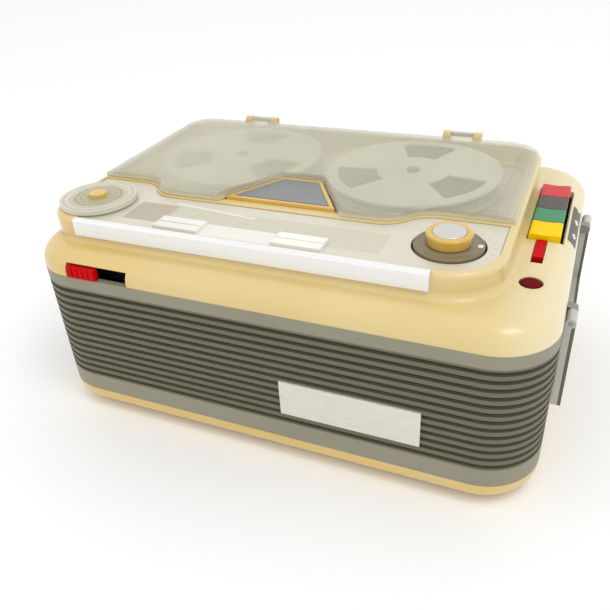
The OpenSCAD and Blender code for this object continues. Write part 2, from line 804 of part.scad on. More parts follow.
module case_screws() {
  color(steel) for (s = screw_spots) {
    head_z = foot_h + screw_sink;
    rod(s[0], s[1], head_z, head_z + screw_head_h - eps, screw_head_r);
    rod(s[0], s[1], head_z + screw_head_h - 2 * eps, shelf_low_z - 4, screw_r);
  }
}

module badge_plate() {
  color("#d7d5ca") box3(badge_x - badge_w / 2, badge_x + badge_w / 2, -half_d - badge_t, -half_d,
    seam_z - badge_drop - badge_h / 2, seam_z - badge_drop + badge_h / 2);
}

// Outline of the carrying handle seen from the side: two arms and the grip
module handle_outline() {
  for (y = arm_sides) translate([y[0], -handle_len]) square([arm_w, handle_len - barrel_r]);
  translate([-handle_span / 2 - arm_w / 2, -handle_len]) square([handle_span + arm_w, grip_h]);
}

module handle_layer(x, t) {
  translate([x, 0, handle_z]) rotate([90, 0, 90]) linear_extrude(t) handle_outline();
}

module handle_frame() {
  color("#bebcaf") difference() {
    union() {
      handle_layer(half_w + lay_gap, handle_t);
      for (y = arm_sides) {
        rod_along_y(handle_x, handle_z, y[0], y[1], barrel_r);
        box3(half_w + lay_gap, half_w + lay_gap + handle_t, y[0], y[1], handle_z - barrel_r - eps, handle_z);
      }
    }
    for (y = arm_sides) rod_along_y(handle_x, handle_z, y[0] - 1, y[1] + 1, handle_pin_r + run_gap);
  }
}

module handle_cover() {
  color("#6e6e5f") difference() {
    handle_layer(half_w + lay_gap + handle_t, handle_cover_t);
    rod_along_y(handle_x, handle_z, -handle_span, handle_span, barrel_r + lay_gap);
  }
}

module handle_pins() {
  color(steel) for (i = [0, 1])
    rod_along_y(handle_x, handle_z, min(arm_sides[i][0], lug_sides[i][0]),
      max(arm_sides[i][1], lug_sides[i][1]), handle_pin_r);
}

module handle_brackets() {
  color(steel) difference() {
    for (y = lug_sides) {
      box3(half_w, handle_x, y[0], y[1], handle_z - barrel_r, handle_z + barrel_r);
      rod_along_y(handle_x, handle_z, y[0], y[1], barrel_r);
    }
    rod_along_y(handle_x, handle_z, -handle_span, handle_span, handle_pin_r);
  }
}

module lid() {
  color("#cdcbb4", 0.6) difference() {
    union() {
      front_rounded(len(front_line) - 1) difference() {
        intersection() {
          dome_block(lid_box, lid_r, lid_z, lid_top_z, lid_round, lid_run);
          translate([0, 0, lid_z - 1]) linear_extrude(lid_h + 2) lid_plan(0);
        }
        intersection() {
          dome_block(grown(lid_box, -lid_wall), shrunk(lid_r, lid_wall), lid_z - 1, lid_top_z - lid_wall,
            lid_round - lid_wall, lid_run - lid_wall);
          translate([0, 0, lid_z - 2]) linear_extrude(lid_h + 4) lid_plan(lid_wall);
        }
      }
      for (s = [-1, 1]) {
        x0 = lid_x + s * hinge_x - knuckle_w / 2;
        box3(x0, x0 + knuckle_w, lid_box[3] - lid_wall / 2, hinge_y, lid_z, hinge_z);
        rod_along_x(hinge_y, hinge_z, x0, x0 + knuckle_w, knuckle_r);
      }
    }
    for (s = [-1, 1])
      rod_along_x(hinge_y, hinge_z, lid_x + s * hinge_x - knuckle_w, lid_x + s * hinge_x + knuckle_w,
        hinge_pin_r + run_gap);
  }
}

module lid_hinge_pins() {
  reach = knuckle_w / 2 + lay_gap + lug_w;
  color(steel) for (s = [-1, 1])
    rod_along_x(hinge_y, hinge_z, lid_x + s * hinge_x - reach, lid_x + s * hinge_x + reach, hinge_pin_r);
}

module deck_panel() {
  color("#d7d2c8") difference() {
    translate([0, 0, panel_z]) linear_extrude(panel_t) {
      intersection() {
        plan(grown(well_box, -lay_gap), shrunk(well_r, lay_gap));
        front_zone(-lay_gap);
      }
      translate([trim_x[0] + lay_gap, deck_box[1] + trim_land + lay_gap])
        square([trim_x[1] - trim_x[0] - 2 * lay_gap, rim_w]);
    }
    rod(dial_x, dial_y, panel_z - 1, deck_z, shaft_r + lay_gap);
    rod(knob_x, knob_y, panel_z - 1, deck_z, recess_r);
  }
}

module front_trim() {
  bevel = 1.2;
  color("#e8e8e6") translate([trim_x[1], deck_box[1], 0]) rotate([90, 0, -90])
    linear_extrude(trim_x[1] - trim_x[0])
      polygon([[0, trim_z], [trim_t, trim_z], [trim_t, deck_z + trim_cap - bevel],
        [trim_t - bevel, deck_z + trim_cap], [-trim_land, deck_z + trim_cap], [-trim_land, deck_z],
        [0, deck_z]]);
}

module legend_bars() {
  bar_w = 26;
  bar_d = 12;
  bar_h = 1.6;
  bar_front = 4.2;
  bar_left = 39.8;
  bar_right = 27.5;
  groove = 0.6;
  color("#efece2") for (x = [lid_x - bar_left, lid_x + bar_right])
    translate([x - bar_w / 2, deck_box[1] + bar_front, panel_z + panel_t]) difference() {
      cube([bar_w, bar_d, bar_h]);
      translate([-1, bar_d / 2 - groove / 2, bar_h - groove]) cube([bar_w + 2, groove, bar_h]);
    }
}

module head_cover() {
  color("#dcb45a") difference() {
    translate([0, 0, chassis_z]) linear_extrude(cover_z - chassis_z) cover_plan();
    translate([0, 0, chassis_z - 1]) linear_extrude(cover_z - chassis_z + 1 - cover_t)
      cover_plan(-cover_t, -cover_t);
    translate([0, 0, cover_z - inlay_sink]) linear_extrude(1) cover_plan(-inlay_edge, -inlay_edge);
  }
}

module head_cover_plate() {
  edge = inlay_edge + lay_gap;
  color("#8c8c88") translate([0, 0, cover_z - inlay_sink]) linear_extrude(inlay_t) cover_plan(-edge, -edge);
}

module dial_disc() {
  color("#b9b7ae", 0.6) difference() {
    translate([dial_x, dial_y, dial_z]) rotate_extrude() difference() {
      square([dial_r, dial_t]);
      for (r = [dial_r * 0.45, dial_r * 0.6, dial_r * 0.75, dial_r * 0.9])
        translate([r, dial_t]) circle(0.4, $fn = 24);
    }
    rod(dial_x, dial_y, dial_z - 1, dial_z + dial_t + 1, shaft_r);
  }
}

module dial_cap() {
  color("#e3c987") {
    rod(dial_x, dial_y, dial_z + dial_t, dial_z + dial_t + 2, dial_cap_r);
    rod(dial_x, dial_y, roof_z - control_h + 2, dial_z + dial_t + eps, shaft_r);
  }
}

module rotary_body(x, y, top_z, bore_r) {
  difference() {
    rod(x, y, top_z - control_h, top_z, control_r);
    rod(x, y, top_z - control_h + 1, top_z + 1, bore_r);
  }
}

module dial_control() {
  color(dark) rotary_body(dial_x, dial_y, roof_z, shaft_r + run_gap);
}

module control_cup() {
  color(dark) difference() {
    rod(knob_x, knob_y, cup_z - cup_floor, roof_z, recess_r + cup_wall);
    rod(knob_x, knob_y, cup_z, roof_z + 1, recess_r);
    rod(knob_x, knob_y, cup_z - cup_floor - 1, roof_z, sleeve_r + run_gap);
  }
}

module volume_control() {
  color("#8d8c86") difference() {
    rotary_body(knob_x, knob_y, cup_z - cup_floor, shaft_r + run_gap);
    rod(knob_x, knob_y, cup_z - cup_floor - control_h / 2, cup_z, sleeve_r + run_gap);
  }
}

module tone_ring() {
  color("#968c78") difference() {
    translate([knob_x, knob_y, 0]) rotate_extrude() difference() {
      union() {
        translate([0, ring_z]) square([ring_r, ring_top_z - ring_z - 0.8]);
        translate([0, ring_top_z - 0.8 - eps]) square([ring_r - 0.8, 0.8 + eps]);
        translate([ring_r - 0.8, ring_top_z - 0.8]) quarter(0.8);
        translate([0, cup_z - cup_floor - control_h / 2 + spin_gap]) square([sleeve_r, control_h]);
      }
      translate([(ring_r + knob_r) / 2, ring_top_z + 4]) circle(4.6);
    }
    rod(knob_x, knob_y, cup_z - control_h, ring_top_z + 1, shaft_r + run_gap);
  }
}

module volume_knob() {
  foot_in = 1;
  color("#dcb45a") difference() {
    translate([knob_x, knob_y, knob_z]) rotate_extrude() difference() {
      union() {
        polygon([[0, 0], [knob_r - foot_in, 0], [knob_r, knob_h - 1], [0, knob_h - 1]]);
        translate([0, knob_h - 1 - eps]) square([knob_r - 1, 1 + eps]);
        translate([knob_r - 1, knob_h - 1]) quarter(1);
      }
      translate([0, knob_h - cap_sink]) square([knob_cap_r + lay_gap / 2, cap_sink + 1]);
    }
    rod(knob_x, knob_y, knob_z - 1, knob_top_z - cap_sink - 1, shaft_r);
  }
}

module volume_cap() {
  color("#e6e4de") translate([knob_x, knob_y, knob_top_z - cap_sink]) rotate_extrude() {
    square([knob_cap_r - 0.5, cap_sink + 0.3]);
    square([knob_cap_r, cap_sink - 0.2]);
    translate([knob_cap_r - 0.5, cap_sink - 0.2]) quarter(0.5);
  }
}

module volume_shaft() {
  color(steel) rod(knob_x, knob_y, cup_z - cup_floor - control_h + 2, knob_top_z - cap_sink - 1, shaft_r);
}

// One piano key: its button, and the lever below the shelf that turns on the key shaft
module key(index) {
  y = key_y + index * key_pitch;
  y1 = y + key_len;
  low_z = pivot_z - key_lever_h / 2;
  difference() {
    union() {
      box3(key_x, key_x + key_w, y, y1, low_z, key_top_z - key_edge);
      box3(key_x + key_edge, key_x + key_w - key_edge, y, y1, key_top_z - key_edge - eps, key_top_z);
      for (x = [key_x + key_edge, key_x + key_w - key_edge])
        rod_along_y(x, key_top_z - key_edge, y, y1, key_edge);
      box3(pivot_x, key_x + 1, y + lever_inset, y1 - lever_inset, low_z, low_z + key_lever_h);
      rod_along_y(pivot_x, pivot_z, y + lever_inset, y1 - lever_inset, hub_r);
    }
    rod_along_y(pivot_x, pivot_z, y - 1, y1 + 1, key_shaft_r + run_gap);
    rod_along_y(key_x + key_w / 2, key_top_z + key_dish_r - key_dish_d, y - 1, y1 + 1, key_dish_r);
  }
}

module rewind_key() {
  color("#fad714") key(0);
}

module play_key() {
  color("#5f9b78") key(1);
}

module stop_key() {
  color("#696464") key(2);
}

module record_key() {
  color("#cd464b") key(3);
}

module key_shaft() {
  reach = bracket_t + 1;
  color(steel) rod_along_y(pivot_x, pivot_z, key_y - reach, key_y + key_row + reach, key_shaft_r);
}

module key_brackets() {
  color(steel) difference() {
    for (y = [key_y - bracket_t - 0.5, key_y + key_row + 0.5])
      box3(pivot_x - hub_r - 1, pivot_x + hub_r + 3, y, y + bracket_t, pivot_z - hub_r - 1, shelf_low_z);
    rod_along_y(pivot_x, pivot_z, key_y - 5, key_y + key_row + 5, key_shaft_r);
  }
}

// Strip that lies in the rounded right edge beside the keys, out to a radius
module label_strip(outer) {
  low = 25;
  high = 58;
  reach = 2 * outer;
  translate([half_w - edge_r, key_y + label_start + label_len, shelf_z - edge_r]) rotate([90, 0, 0])
    linear_extrude(label_len) intersection() {
      difference() {
        circle(outer);
        circle(edge_r - label_sink);
      }
      polygon([[0, 0], [reach * cos(low), reach * sin(low)], [reach * cos(high), reach * sin(high)]]);
    }
}

module key_label() {
  color("#55524c") label_strip(edge_r + label_proud);
}

module record_lock() {
  half = lock_w / 2;
  under_z = shelf_low_z - lay_gap;
  color("#be0f14") {
    box3(lock_x - half, lock_x + half, lock_y - lock_len, lock_y, under_z - eps, shelf_z + lock_rise);
    box3(lock_x - half - lock_flange, lock_x + half + lock_flange, lock_y - lock_len, lock_y,
      under_z - 2, under_z);
  }
}

module record_button() {
  top_z = shelf_z - dish_d + 0.6;
  color("#6e0a1e") {
    rod(button[0], button[1], shelf_low_z - lay_gap - eps, top_z - 0.8, button_r);
    translate([button[0], button[1], top_z - 0.8]) cylinder(r1 = button_r, r2 = button_r - 0.8, h = 0.8);
    rod(button[0], button[1], shelf_low_z - lay_gap - 1.5, shelf_low_z - lay_gap, button_r + button_flange);
  }
}

module power_slide() {
  z0 = seam_z + lay_gap;
  z1 = seam_z + slot_h - 1;
  x0 = slot_x + slot_gap;
  mid_z = (z0 + z1) / 2;
  color("#d7000a") {
    difference() {
      box3(x0, x0 + thumb_w, -half_d - thumb_proud, -half_d + thumb_d, z0, z1);
      for (i = [1:4])
        box3(x0 + i * thumb_w / 5 - 0.4, x0 + i * thumb_w / 5 + 0.4, -half_d - thumb_proud - 1,
          -half_d - thumb_proud + 0.6, z0 - 1, z1 + 1);
    }
    box3(x0 + thumb_w / 2 - 3, x0 + thumb_w / 2 + 3, -half_d + thumb_d - eps, switch_y + neck_d,
      mid_z - neck_h / 2, mid_z + neck_h / 2);
  }
}

module power_switch() {
  mid_z = seam_z + (slot_h - 1 + lay_gap) / 2;
  color("#1d1c1a") difference() {
    box3(slot_x - 3, slot_x + slot_w + 3, switch_y, switch_y + switch_d,
      shelf_low_z - switch_h, shelf_low_z);
    box3(slot_x + slot_gap, slot_x + slot_w - slot_gap, switch_y - 1, switch_y + neck_d + 1,
      mid_z - neck_h / 2 - lay_gap, mid_z + neck_h / 2 + lay_gap);
  }
}

module chassis_plate() {
  color("#a9ab9c") difference() {
    translate([0, 0, chassis_low_z]) linear_extrude(chassis_t)
      plan(grown(well_box, -lay_gap), shrunk(well_r, lay_gap));
    for (x = [supply_x, take_up_x])
      rod(x, reel_y, chassis_low_z - 1, chassis_z + 1, turntable_shaft_r + bush_wall);
    rod(capstan[0], capstan[1], chassis_low_z - 1, chassis_z + 1, capstan_r + bush_wall);
    rod(knob_x, knob_y, chassis_low_z - 1, chassis_z + 1, recess_r + 3);
    rod(dial_x, dial_y, chassis_low_z - 1, chassis_z + 1, control_r + 1);
    for (s = chassis_spots) rod(s[0], s[1], chassis_low_z - 1, chassis_z + 1, chassis_screw_r + lay_gap);
    rod(pinch_pivot[0], pinch_pivot[1], chassis_low_z - 1, chassis_z + 1, post_r);
  }
}

module chassis_screws() {
  color(steel) for (s = chassis_spots) {
    rod(s[0], s[1], chassis_low_z - screw_head_h, chassis_low_z, chassis_head_r);
    rod(s[0], s[1], chassis_low_z - eps, chassis_z + ledge_t - 1, chassis_screw_r);
  }
}

module motor() {
  post_ring = motor_r - 6;
  color("#8f9192") {
    difference() {
      rod(motor_pos[0], motor_pos[1], motor_top_z - motor_h, motor_top_z, motor_r);
      rod(motor_pos[0], motor_pos[1], motor_top_z - motor_h / 2, motor_top_z + 1, motor_shaft_r + run_gap);
    }
    for (a = [30, 150, 270])
      translate(post_ring * [cos(a), sin(a)])
        rod(motor_pos[0], motor_pos[1], motor_top_z - eps, chassis_low_z, motor_post_r);
  }
}

module motor_pulley() {
  z0 = motor_top_z + 1;
  color("#c9a24a") {
    rod(motor_pos[0], motor_pos[1], motor_top_z - motor_h / 3, z0 + 1, motor_shaft_r);
    translate([motor_pos[0], motor_pos[1], 0]) rotate_extrude() {
      translate([0, z0]) square([pulley_r + belt_t, belt_z - lay_gap - z0]);
      translate([0, belt_z - lay_gap - eps]) square([pulley_r, belt_w + 2 * lay_gap + 2 * eps]);
      translate([0, belt_z + belt_w + lay_gap]) square([pulley_r + belt_t, 1.5]);
    }
  }
}

// Outline of the belt's loop, at a distance outside the two rims
module belt_loop(gap) {
  span = norm(drive_line);
  lean = acos((flywheel_r - pulley_r) / span);
  translate(capstan) rotate(drive_angle) polygon(concat(
    arc([0, 0], flywheel_r + gap, lean, 360 - lean, 60),
    arc([span, 0], pulley_r + gap, -lean, lean, 24)));
}

module drive_belt() {
  color("#26241f") translate([0, 0, belt_z]) linear_extrude(belt_w) difference() {
    belt_loop(lay_gap + belt_t);
    belt_loop(lay_gap);
  }
}

module flywheel() {
  color(steel) {
    rod(capstan[0], capstan[1], flywheel_z, flywheel_z + flywheel_t, flywheel_r);
    rod(capstan[0], capstan[1], bracket_z + 1, tape_z + tape_w, capstan_r);
  }
}

module thrust_bracket() {
  color("#9da0a1") translate([capstan[0], capstan[1], 0]) rotate(drive_angle + 90) difference() {
    union() {
      box3(-bracket_reach - 4, bracket_reach + 4, -6, 6, bracket_z, bracket_z + 3);
      for (s = [-1, 1]) rod(s * bracket_reach, 0, bracket_z + 2, chassis_low_z, bracket_post_r);
      rod(0, 0, bracket_z + 2, flywheel_z - spin_gap, capstan_r + bush_wall);
    }
    rod(0, 0, bracket_z + 1 - spin_gap, flywheel_z, capstan_r + run_gap);
  }
}

// Flanged bush that hangs in a hole of the chassis
module bush(x, y, z0, r) {
  difference() {
    union() {
      rod(x, y, z0, chassis_z, r + bush_wall);
      rod(x, y, chassis_low_z - bush_flange, chassis_low_z, r + bush_wall + 2);
    }
    rod(x, y, z0 - 1, chassis_z + 1, r + run_gap);
  }
}

module shaft_bearings() {
  color("#c0a15c") {
    for (x = [supply_x, take_up_x]) bush(x, reel_y, chassis_z - turntable_shaft_h + 3, turntable_shaft_r);
    bush(capstan[0], capstan[1], flywheel_z + flywheel_t + spin_gap, capstan_r);
  }
}

module turntable(x) {
  rod(x, reel_y, turntable_z, turntable_z + turntable_t, turntable_r);
  rod(x, reel_y, turntable_z + turntable_t - eps, turntable_z + spindle_h, spindle_r);
  rod(x, reel_y, turntable_z - turntable_shaft_h, turntable_z + eps, turntable_shaft_r);
}

module supply_turntable() {
  color("#6f6c64") turntable(supply_x);
}

module take_up_turntable() {
  color("#6f6c64") turntable(take_up_x);
}

// Flange of a reel, with three windows
module reel_flange() {
  window = 23;
  corner = 2 * reel_r * [cos(window), sin(window)];
  difference() {
    circle(reel_r);
    for (a = [90, 210, 330]) rotate(a) intersection() {
      difference() {
        circle(reel_r - 7);
        circle(reel_hub_r + 5);
      }
      polygon([[0, 0], [corner[0], -corner[1]], corner]);
    }
    circle(spindle_r + lay_gap);
  }
}

module reel(x) {
  translate([x, reel_y, reel_z]) {
    linear_extrude(flange_t) reel_flange();
    translate([0, 0, flange_t + tape_w]) linear_extrude(flange_t) reel_flange();
    translate([0, 0, flange_t - eps]) linear_extrude(tape_w + 2 * eps) difference() {
      circle(reel_hub_r);
      circle(spindle_r + lay_gap);
    }
  }
}

module supply_reel() {
  color("#d5d3c5") reel(supply_x);
}

module take_up_reel() {
  color("#d5d3c5") reel(take_up_x);
}

module tape_pack() {
  edge = 0.05;
  color("#5a4634") translate([take_up_x, reel_y, tape_z + edge]) difference() {
    cylinder(r = pack_r, h = tape_w - 2 * edge);
    translate([0, 0, -1]) cylinder(r = reel_hub_r + edge, h = tape_w + 2);
  }
}

module pinch_arm() {
  line = roller_rest - pinch_pivot;
  arm_top = pinch_z + pinch_arm_t;
  arm_half = 1.6;
  color(steel) difference() {
    union() {
      translate([0, 0, pinch_z]) linear_extrude(pinch_arm_t) {
        for (p = [pinch_pivot, roller_rest]) translate(p) circle(pinch_end_r);
        translate(pinch_pivot) rotate(atan2(line[1], line[0]))
          translate([0, -arm_half]) square([norm(line), 2 * arm_half]);
      }
      rod(roller_rest[0], roller_rest[1], arm_top - eps, arm_top + roller_h + 1, roller_pin_r);
    }
    rod(pinch_pivot[0], pinch_pivot[1], pinch_z - 1, pinch_z + pinch_arm_t + 1, post_r + run_gap);
  }
}

module pinch_roller() {
  z0 = pinch_z + pinch_arm_t + spin_gap;
  color("#2c2a27") difference() {
    rod(roller_rest[0], roller_rest[1], z0, z0 + roller_h, roller_r);
    rod(roller_rest[0], roller_rest[1], z0 - 1, z0 + roller_h + 1, roller_pin_r + run_gap);
  }
}

// Tape head on its foot, with a round nose towards the tape
module tape_head(x, w) {
  nose = 3;
  y1 = tape_y - lay_gap;
  top_z = tape_z + tape_w + 0.6;
  box3(x - w / 2, x + w / 2, y1 - 8, y1 - nose, chassis_z, top_z);
  intersection() {
    translate([x, y1 - w, chassis_z]) cylinder(r = w, h = top_z - chassis_z);
    box3(x - w / 2, x + w / 2, y1 - nose - eps, y1 + 1, chassis_z, top_z);
  }
}

module record_head() {
  color("#c5c6c6") tape_head(head_x, head_w);
}

module erase_head() {
  color("#7f7f7c") tape_head(erase_x, erase_w);
}

module tape_guides() {
  color(steel) {
    for (x = [lid_x - guide_reach, lid_x + guide_reach]) {
      rod(x, tape_y, chassis_z, tape_z + tape_w + 0.6, guide_r);
      rod(x, tape_y, chassis_z, tape_z - 0.2, guide_foot_r);
    }
    rod(pinch_pivot[0], pinch_pivot[1], chassis_low_z, pinch_z + pinch_arm_t + 0.6, post_r);
  }
}

module loudspeaker() {
  magnet_r = 20;
  edge = 2;
  mid = speaker_d / 2;
  cone = 3;
  color("#4a4842") translate([speaker_x, -half_d + wall, speaker_z]) rotate([-90, 0, 0]) rotate_extrude()
    polygon([[speaker_r - speaker_rim, 0], [speaker_r, 0], [speaker_r, edge], [speaker_r - edge, edge],
      [magnet_r, mid], [magnet_r, speaker_d], [0, speaker_d], [0, mid - cone], [magnet_r / 2, mid - cone]]);
}

module circuit_board() {
  color("#7d6a3a") box3(board_box[0], board_box[2], board_box[1], board_box[3], board_z, board_z + board_t);
}

module board_parts() {
  top_z = board_z + board_t;
  can_r = 5;
  can_h = 22;
  can_pitch = 16;
  transistor_r = 3.5;
  transistor_h = 8;
  transistor_pitch = 15;
  coil_w = 22;
  coil_d = 18;
  row_start = 20;
  row_inset = 15;
  color("#5d6f86") {
    for (i = [0:3])
      rod(board_box[0] + row_start + i * can_pitch, board_box[1] + row_inset, top_z, top_z + can_h, can_r);
    for (i = [0:4])
      rod(board_box[0] + row_start + i * transistor_pitch, board_box[3] - row_inset,
        top_z, top_z + transistor_h, transistor_r);
    translate([board_box[2] - row_start - coil_w, board_box[1] + board_d / 2 - coil_d / 2, top_z])
      cube([coil_w, coil_d, coil_d]);
  }
}

module transformer() {
  bobbin = 9;
  yoke = 8;
  color("#6b5a48") {
    translate([core_x, core_y, floor_z + core_h / 2]) cube([core_w, core_d, core_h], center = true);
    translate([core_x, core_y, floor_z + core_h / 2])
      cube([core_w / 2, core_d + 2 * bobbin, core_h - 2 * yoke], center = true);
  }
}

module socket_block(x, w, h, y0, y1) {
  box3(x - w / 2, x + w / 2, y0, y1, plate_z - h / 2, plate_z + h / 2);
}

// Plate behind the back wall's window, with two round sockets and the mains inlet
module socket_plate() {
  y1 = half_d - wall;
  socket_r = 8;
  contact_ring = 4.5;
  contact_r = 0.9;
  color("#2e2d2a") difference() {
    union() {
      socket_block(plate_x, plate_w, plate_h, y1 - plate_t, y1);
      socket_block(inlet_x, inlet_w + 2 * inlet_wall, inlet_h + 2 * inlet_wall,
        y1 - inlet_d - inlet_wall, y1 - eps);
    }
    difference() {
      socket_block(inlet_x, inlet_w, inlet_h, y1 - inlet_d, y1 + 1);
      for (x = [inlet_x - inlet_pin_x, inlet_x + inlet_pin_x])
        rod_along_y(x, plate_z, y1 - inlet_d - 1, y1 - 2, inlet_pin_r);
    }
    for (x = [plate_x - 28, plate_x - 6]) {
      rod_along_y(x, plate_z, y1 - plate_t / 2, y1 + 1, socket_r);
      for (a = [0:45:180])
        translate(contact_ring * [cos(a), 0, -sin(a)])
          rod_along_y(x, plate_z, y1 - plate_t + 0.4, y1, contact_r);
    }
  }
}

base_tray();
cabinet_band();
top_shell();
rubber_feet();
case_screws();
badge_plate();
handle_frame();
handle_cover();
handle_pins();
handle_brackets();
lid();
lid_hinge_pins();
deck_panel();
front_trim();
legend_bars();
head_cover();
head_cover_plate();
dial_disc();
dial_cap();
dial_control();
volume_knob();
volume_cap();
volume_shaft();
tone_ring();
control_cup();
volume_control();
record_key();
stop_key();
play_key();
rewind_key();
key_shaft();
key_brackets();
key_label();
record_lock();
record_button();
power_slide();
power_switch();
chassis_plate();
chassis_screws();
motor();
motor_pulley();
drive_belt();
flywheel();
thrust_bracket();
shaft_bearings();
supply_turntable();
take_up_turntable();
supply_reel();
take_up_reel();
tape_pack();
pinch_arm();
pinch_roller();
record_head();
erase_head();
tape_guides();
loudspeaker();
circuit_board();
board_parts();
transformer();
socket_plate();
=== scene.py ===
"""Looks of a portable reel-to-reel tape recorder, laid out as an add-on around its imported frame."""

import math

import bmesh
import bpy
from bpy.props import FloatProperty, FloatVectorProperty, PointerProperty
from mathutils import Matrix, Vector


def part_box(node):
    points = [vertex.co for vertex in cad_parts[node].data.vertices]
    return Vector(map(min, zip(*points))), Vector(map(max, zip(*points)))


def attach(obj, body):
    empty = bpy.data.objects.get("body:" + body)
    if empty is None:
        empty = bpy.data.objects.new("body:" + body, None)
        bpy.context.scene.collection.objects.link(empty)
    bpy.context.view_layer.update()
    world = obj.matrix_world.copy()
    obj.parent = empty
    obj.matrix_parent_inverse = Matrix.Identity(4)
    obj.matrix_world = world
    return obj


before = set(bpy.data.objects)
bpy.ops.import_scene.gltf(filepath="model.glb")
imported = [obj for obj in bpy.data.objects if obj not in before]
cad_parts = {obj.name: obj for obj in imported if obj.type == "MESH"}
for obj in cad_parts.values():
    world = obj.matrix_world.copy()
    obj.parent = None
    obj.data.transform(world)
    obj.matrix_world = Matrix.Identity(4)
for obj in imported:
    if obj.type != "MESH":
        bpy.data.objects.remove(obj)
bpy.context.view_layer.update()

MM = 0.001

bl_info = {
    "name": "Tape Recorder Looks",
    "version": (1, 0, 0),
    "blender": (4, 5, 0),
    "location": "3D View > Sidebar > Recorder",
    "description": "Dresses a reel-to-reel tape recorder with finishes, fine pieces and a studio",
    "category": "Object",
}


def middle(node):
    """Middle of a node's box at rest."""
    low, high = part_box(node)
    return (low + high) / 2


BAND_LOW, BAND_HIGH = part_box("cabinet_band")
SEAM_Z = BAND_HIGH.z
KNOB = middle("tone_ring")
DIAL = middle("dial_disc")
TAKE_UP = middle("take_up_reel")
KEYS = {"red": "record_key", "grey": "stop_key", "green": "play_key", "yellow": "rewind_key"}
WHITE = (1.0, 1.0, 1.0, 1.0)
FLOOR_WHITE = (0.96, 0.96, 0.96, 1.0)


def colour(label, description, red, green, blue):
    """A colour property, written as it looks on a screen."""
    return FloatVectorProperty(name=label, description=description, subtype="COLOR_GAMMA", size=3,
                               min=0, max=1, default=(red / 255, green / 255, blue / 255))


def length(label, description, millimetres):
    """A length property, whose default is written in millimetres."""
    return FloatProperty(name=label, description=description, default=millimetres * MM, min=0,
                         subtype="DISTANCE", unit="LENGTH", precision=5)


def place(label, description, *metres):
    """A point property, whose default is written in metres."""
    return FloatVectorProperty(name=label, description=description, default=metres, size=3,
                               subtype="TRANSLATION", unit="LENGTH")


def power(label, description, watts):
    """A lamp's power property."""
    return FloatProperty(name=label, description=description, default=watts, min=0, unit="POWER")


def optics(label, description, millimetres):
    """A size inside the camera, kept in millimetres."""
    return FloatProperty(name=label, description=description, default=millimetres, min=1,
                         subtype="DISTANCE_CAMERA", unit="CAMERA")


class RecorderColours(bpy.types.PropertyGroup):
    """Colours of the recorder's finishes."""

    cream: colour("Cream", "Moulded case parts", 218, 201, 148)
    # Yellowed cream is the real yellowing and also the painted shade at the case's left end.
    cream_yellow_and_shade: colour("Yellowed cream", "Case parts where they have yellowed", 216, 184, 108)
    # Pale cream is painted light: the right end of the case tinted paler, as if lit from above.
    cream_lit: colour("Pale cream", "Case parts at the right end, away from the sun", 230, 219, 182)
    waist: colour("Waist", "Plain strips of the band round the case", 142, 138, 118)
    # Rib and groove are painted shade: darker copies of the waist's grey for the ribbed front and its
    # grooves.
    rib: colour("Rib", "Ribs of that band", 102, 98, 77)
    groove_shade: colour("Groove", "Bottom of the grooves between the ribs", 66, 62, 48)
    badge: colour("Badge", "Bare plate on the front", 230, 228, 216)
    panel: colour("Panel", "Brushed deck panel", 220, 215, 198)
    print_ink: colour("Print", "Fine lines printed on the panel", 168, 152, 126)
    trim: colour("Trim", "Bright bar along the deck's front", 240, 240, 238)
    ivory: colour("Ivory", "Raised bars on the panel", 240, 238, 230)
    lid: colour("Lid", "Milky clear lid", 226, 222, 198)
    reel: colour("Reel", "Moulded reels", 198, 199, 176)
    tape: colour("Tape", "Wound tape", 66, 50, 36)
    gold: colour("Gold", "Head cover and volume knob", 222, 178, 80)
    inlay: colour("Inlay", "Bare plate in the head cover", 158, 160, 162)
    cap: colour("Spun cap", "Metal cap in the volume knob", 226, 224, 216)
    ring: colour("Tone ring", "Ring round the volume knob", 132, 120, 90)
    dark: colour("Dark", "Black mouldings", 30, 28, 25)
    red: colour("Red key", "Key at the back", 208, 76, 76)
    grey: colour("Grey key", "Second key from the back", 100, 95, 89)
    green: colour("Green key", "Third key from the back", 84, 147, 109)
    yellow: colour("Yellow key", "Key at the front", 254, 214, 0)
    slide: colour("Slide", "Small red slides", 200, 10, 16)
    button: colour("Button", "Round record button", 110, 0, 12)
    label: colour("Label", "Dark strip beside the keys, and the turntables", 92, 88, 80)
    handle: colour("Handle", "Handle's frame", 196, 194, 182)
    grip: colour("Grip", "Grained cover of the handle", 104, 103, 90)
    chassis: colour("Chassis", "Painted plate under the reels", 208, 203, 180)
    board: colour("Board", "Laminate of the circuit board", 132, 104, 58)
    sleeve: colour("Sleeve", "Sleeves of the parts on the board", 92, 110, 133)
    motor: colour("Motor", "Painted can of the motor", 112, 115, 115)
    speaker: colour("Loudspeaker", "Painted basket and paper cone", 66, 64, 59)
    core: colour("Core", "Iron of the transformer", 92, 82, 69)
    rust: colour("Rust", "Rusty places of that iron", 66, 51, 38)
    steel: colour("Steel", "Screws, shafts and brackets", 153, 153, 153)
    pin: colour("Pin", "Pins of the handle and the lid", 158, 158, 153)
    turned: colour("Turned steel", "Flywheel", 168, 168, 168)
    control: colour("Control", "Metal of the rotary controls", 168, 168, 161)
    brass: colour("Brass", "Motor pulley and shaft bearings", 199, 158, 82)
    record_head: colour("Record head", "Bright metal of the record head", 191, 191, 189)
    erase_head: colour("Erase head", "Dull metal of the erase head", 128, 128, 122)


class RecorderDetail(bpy.types.PropertyGroup):
    """Sizes of the fine detail in the finishes."""

    grain: length("Grain", "Size of the moulding grain", 0.7)
    edge: length("Edge", "Radius that softens sharp edges", 0.35)
    brush: length("Brushing", "Width of a brushed line", 0.12)
    print_pitch: length("Print pitch", "Distance from one printed line to the next", 2.1)
    print_width: length("Print width", "Width of a printed line", 0.55)


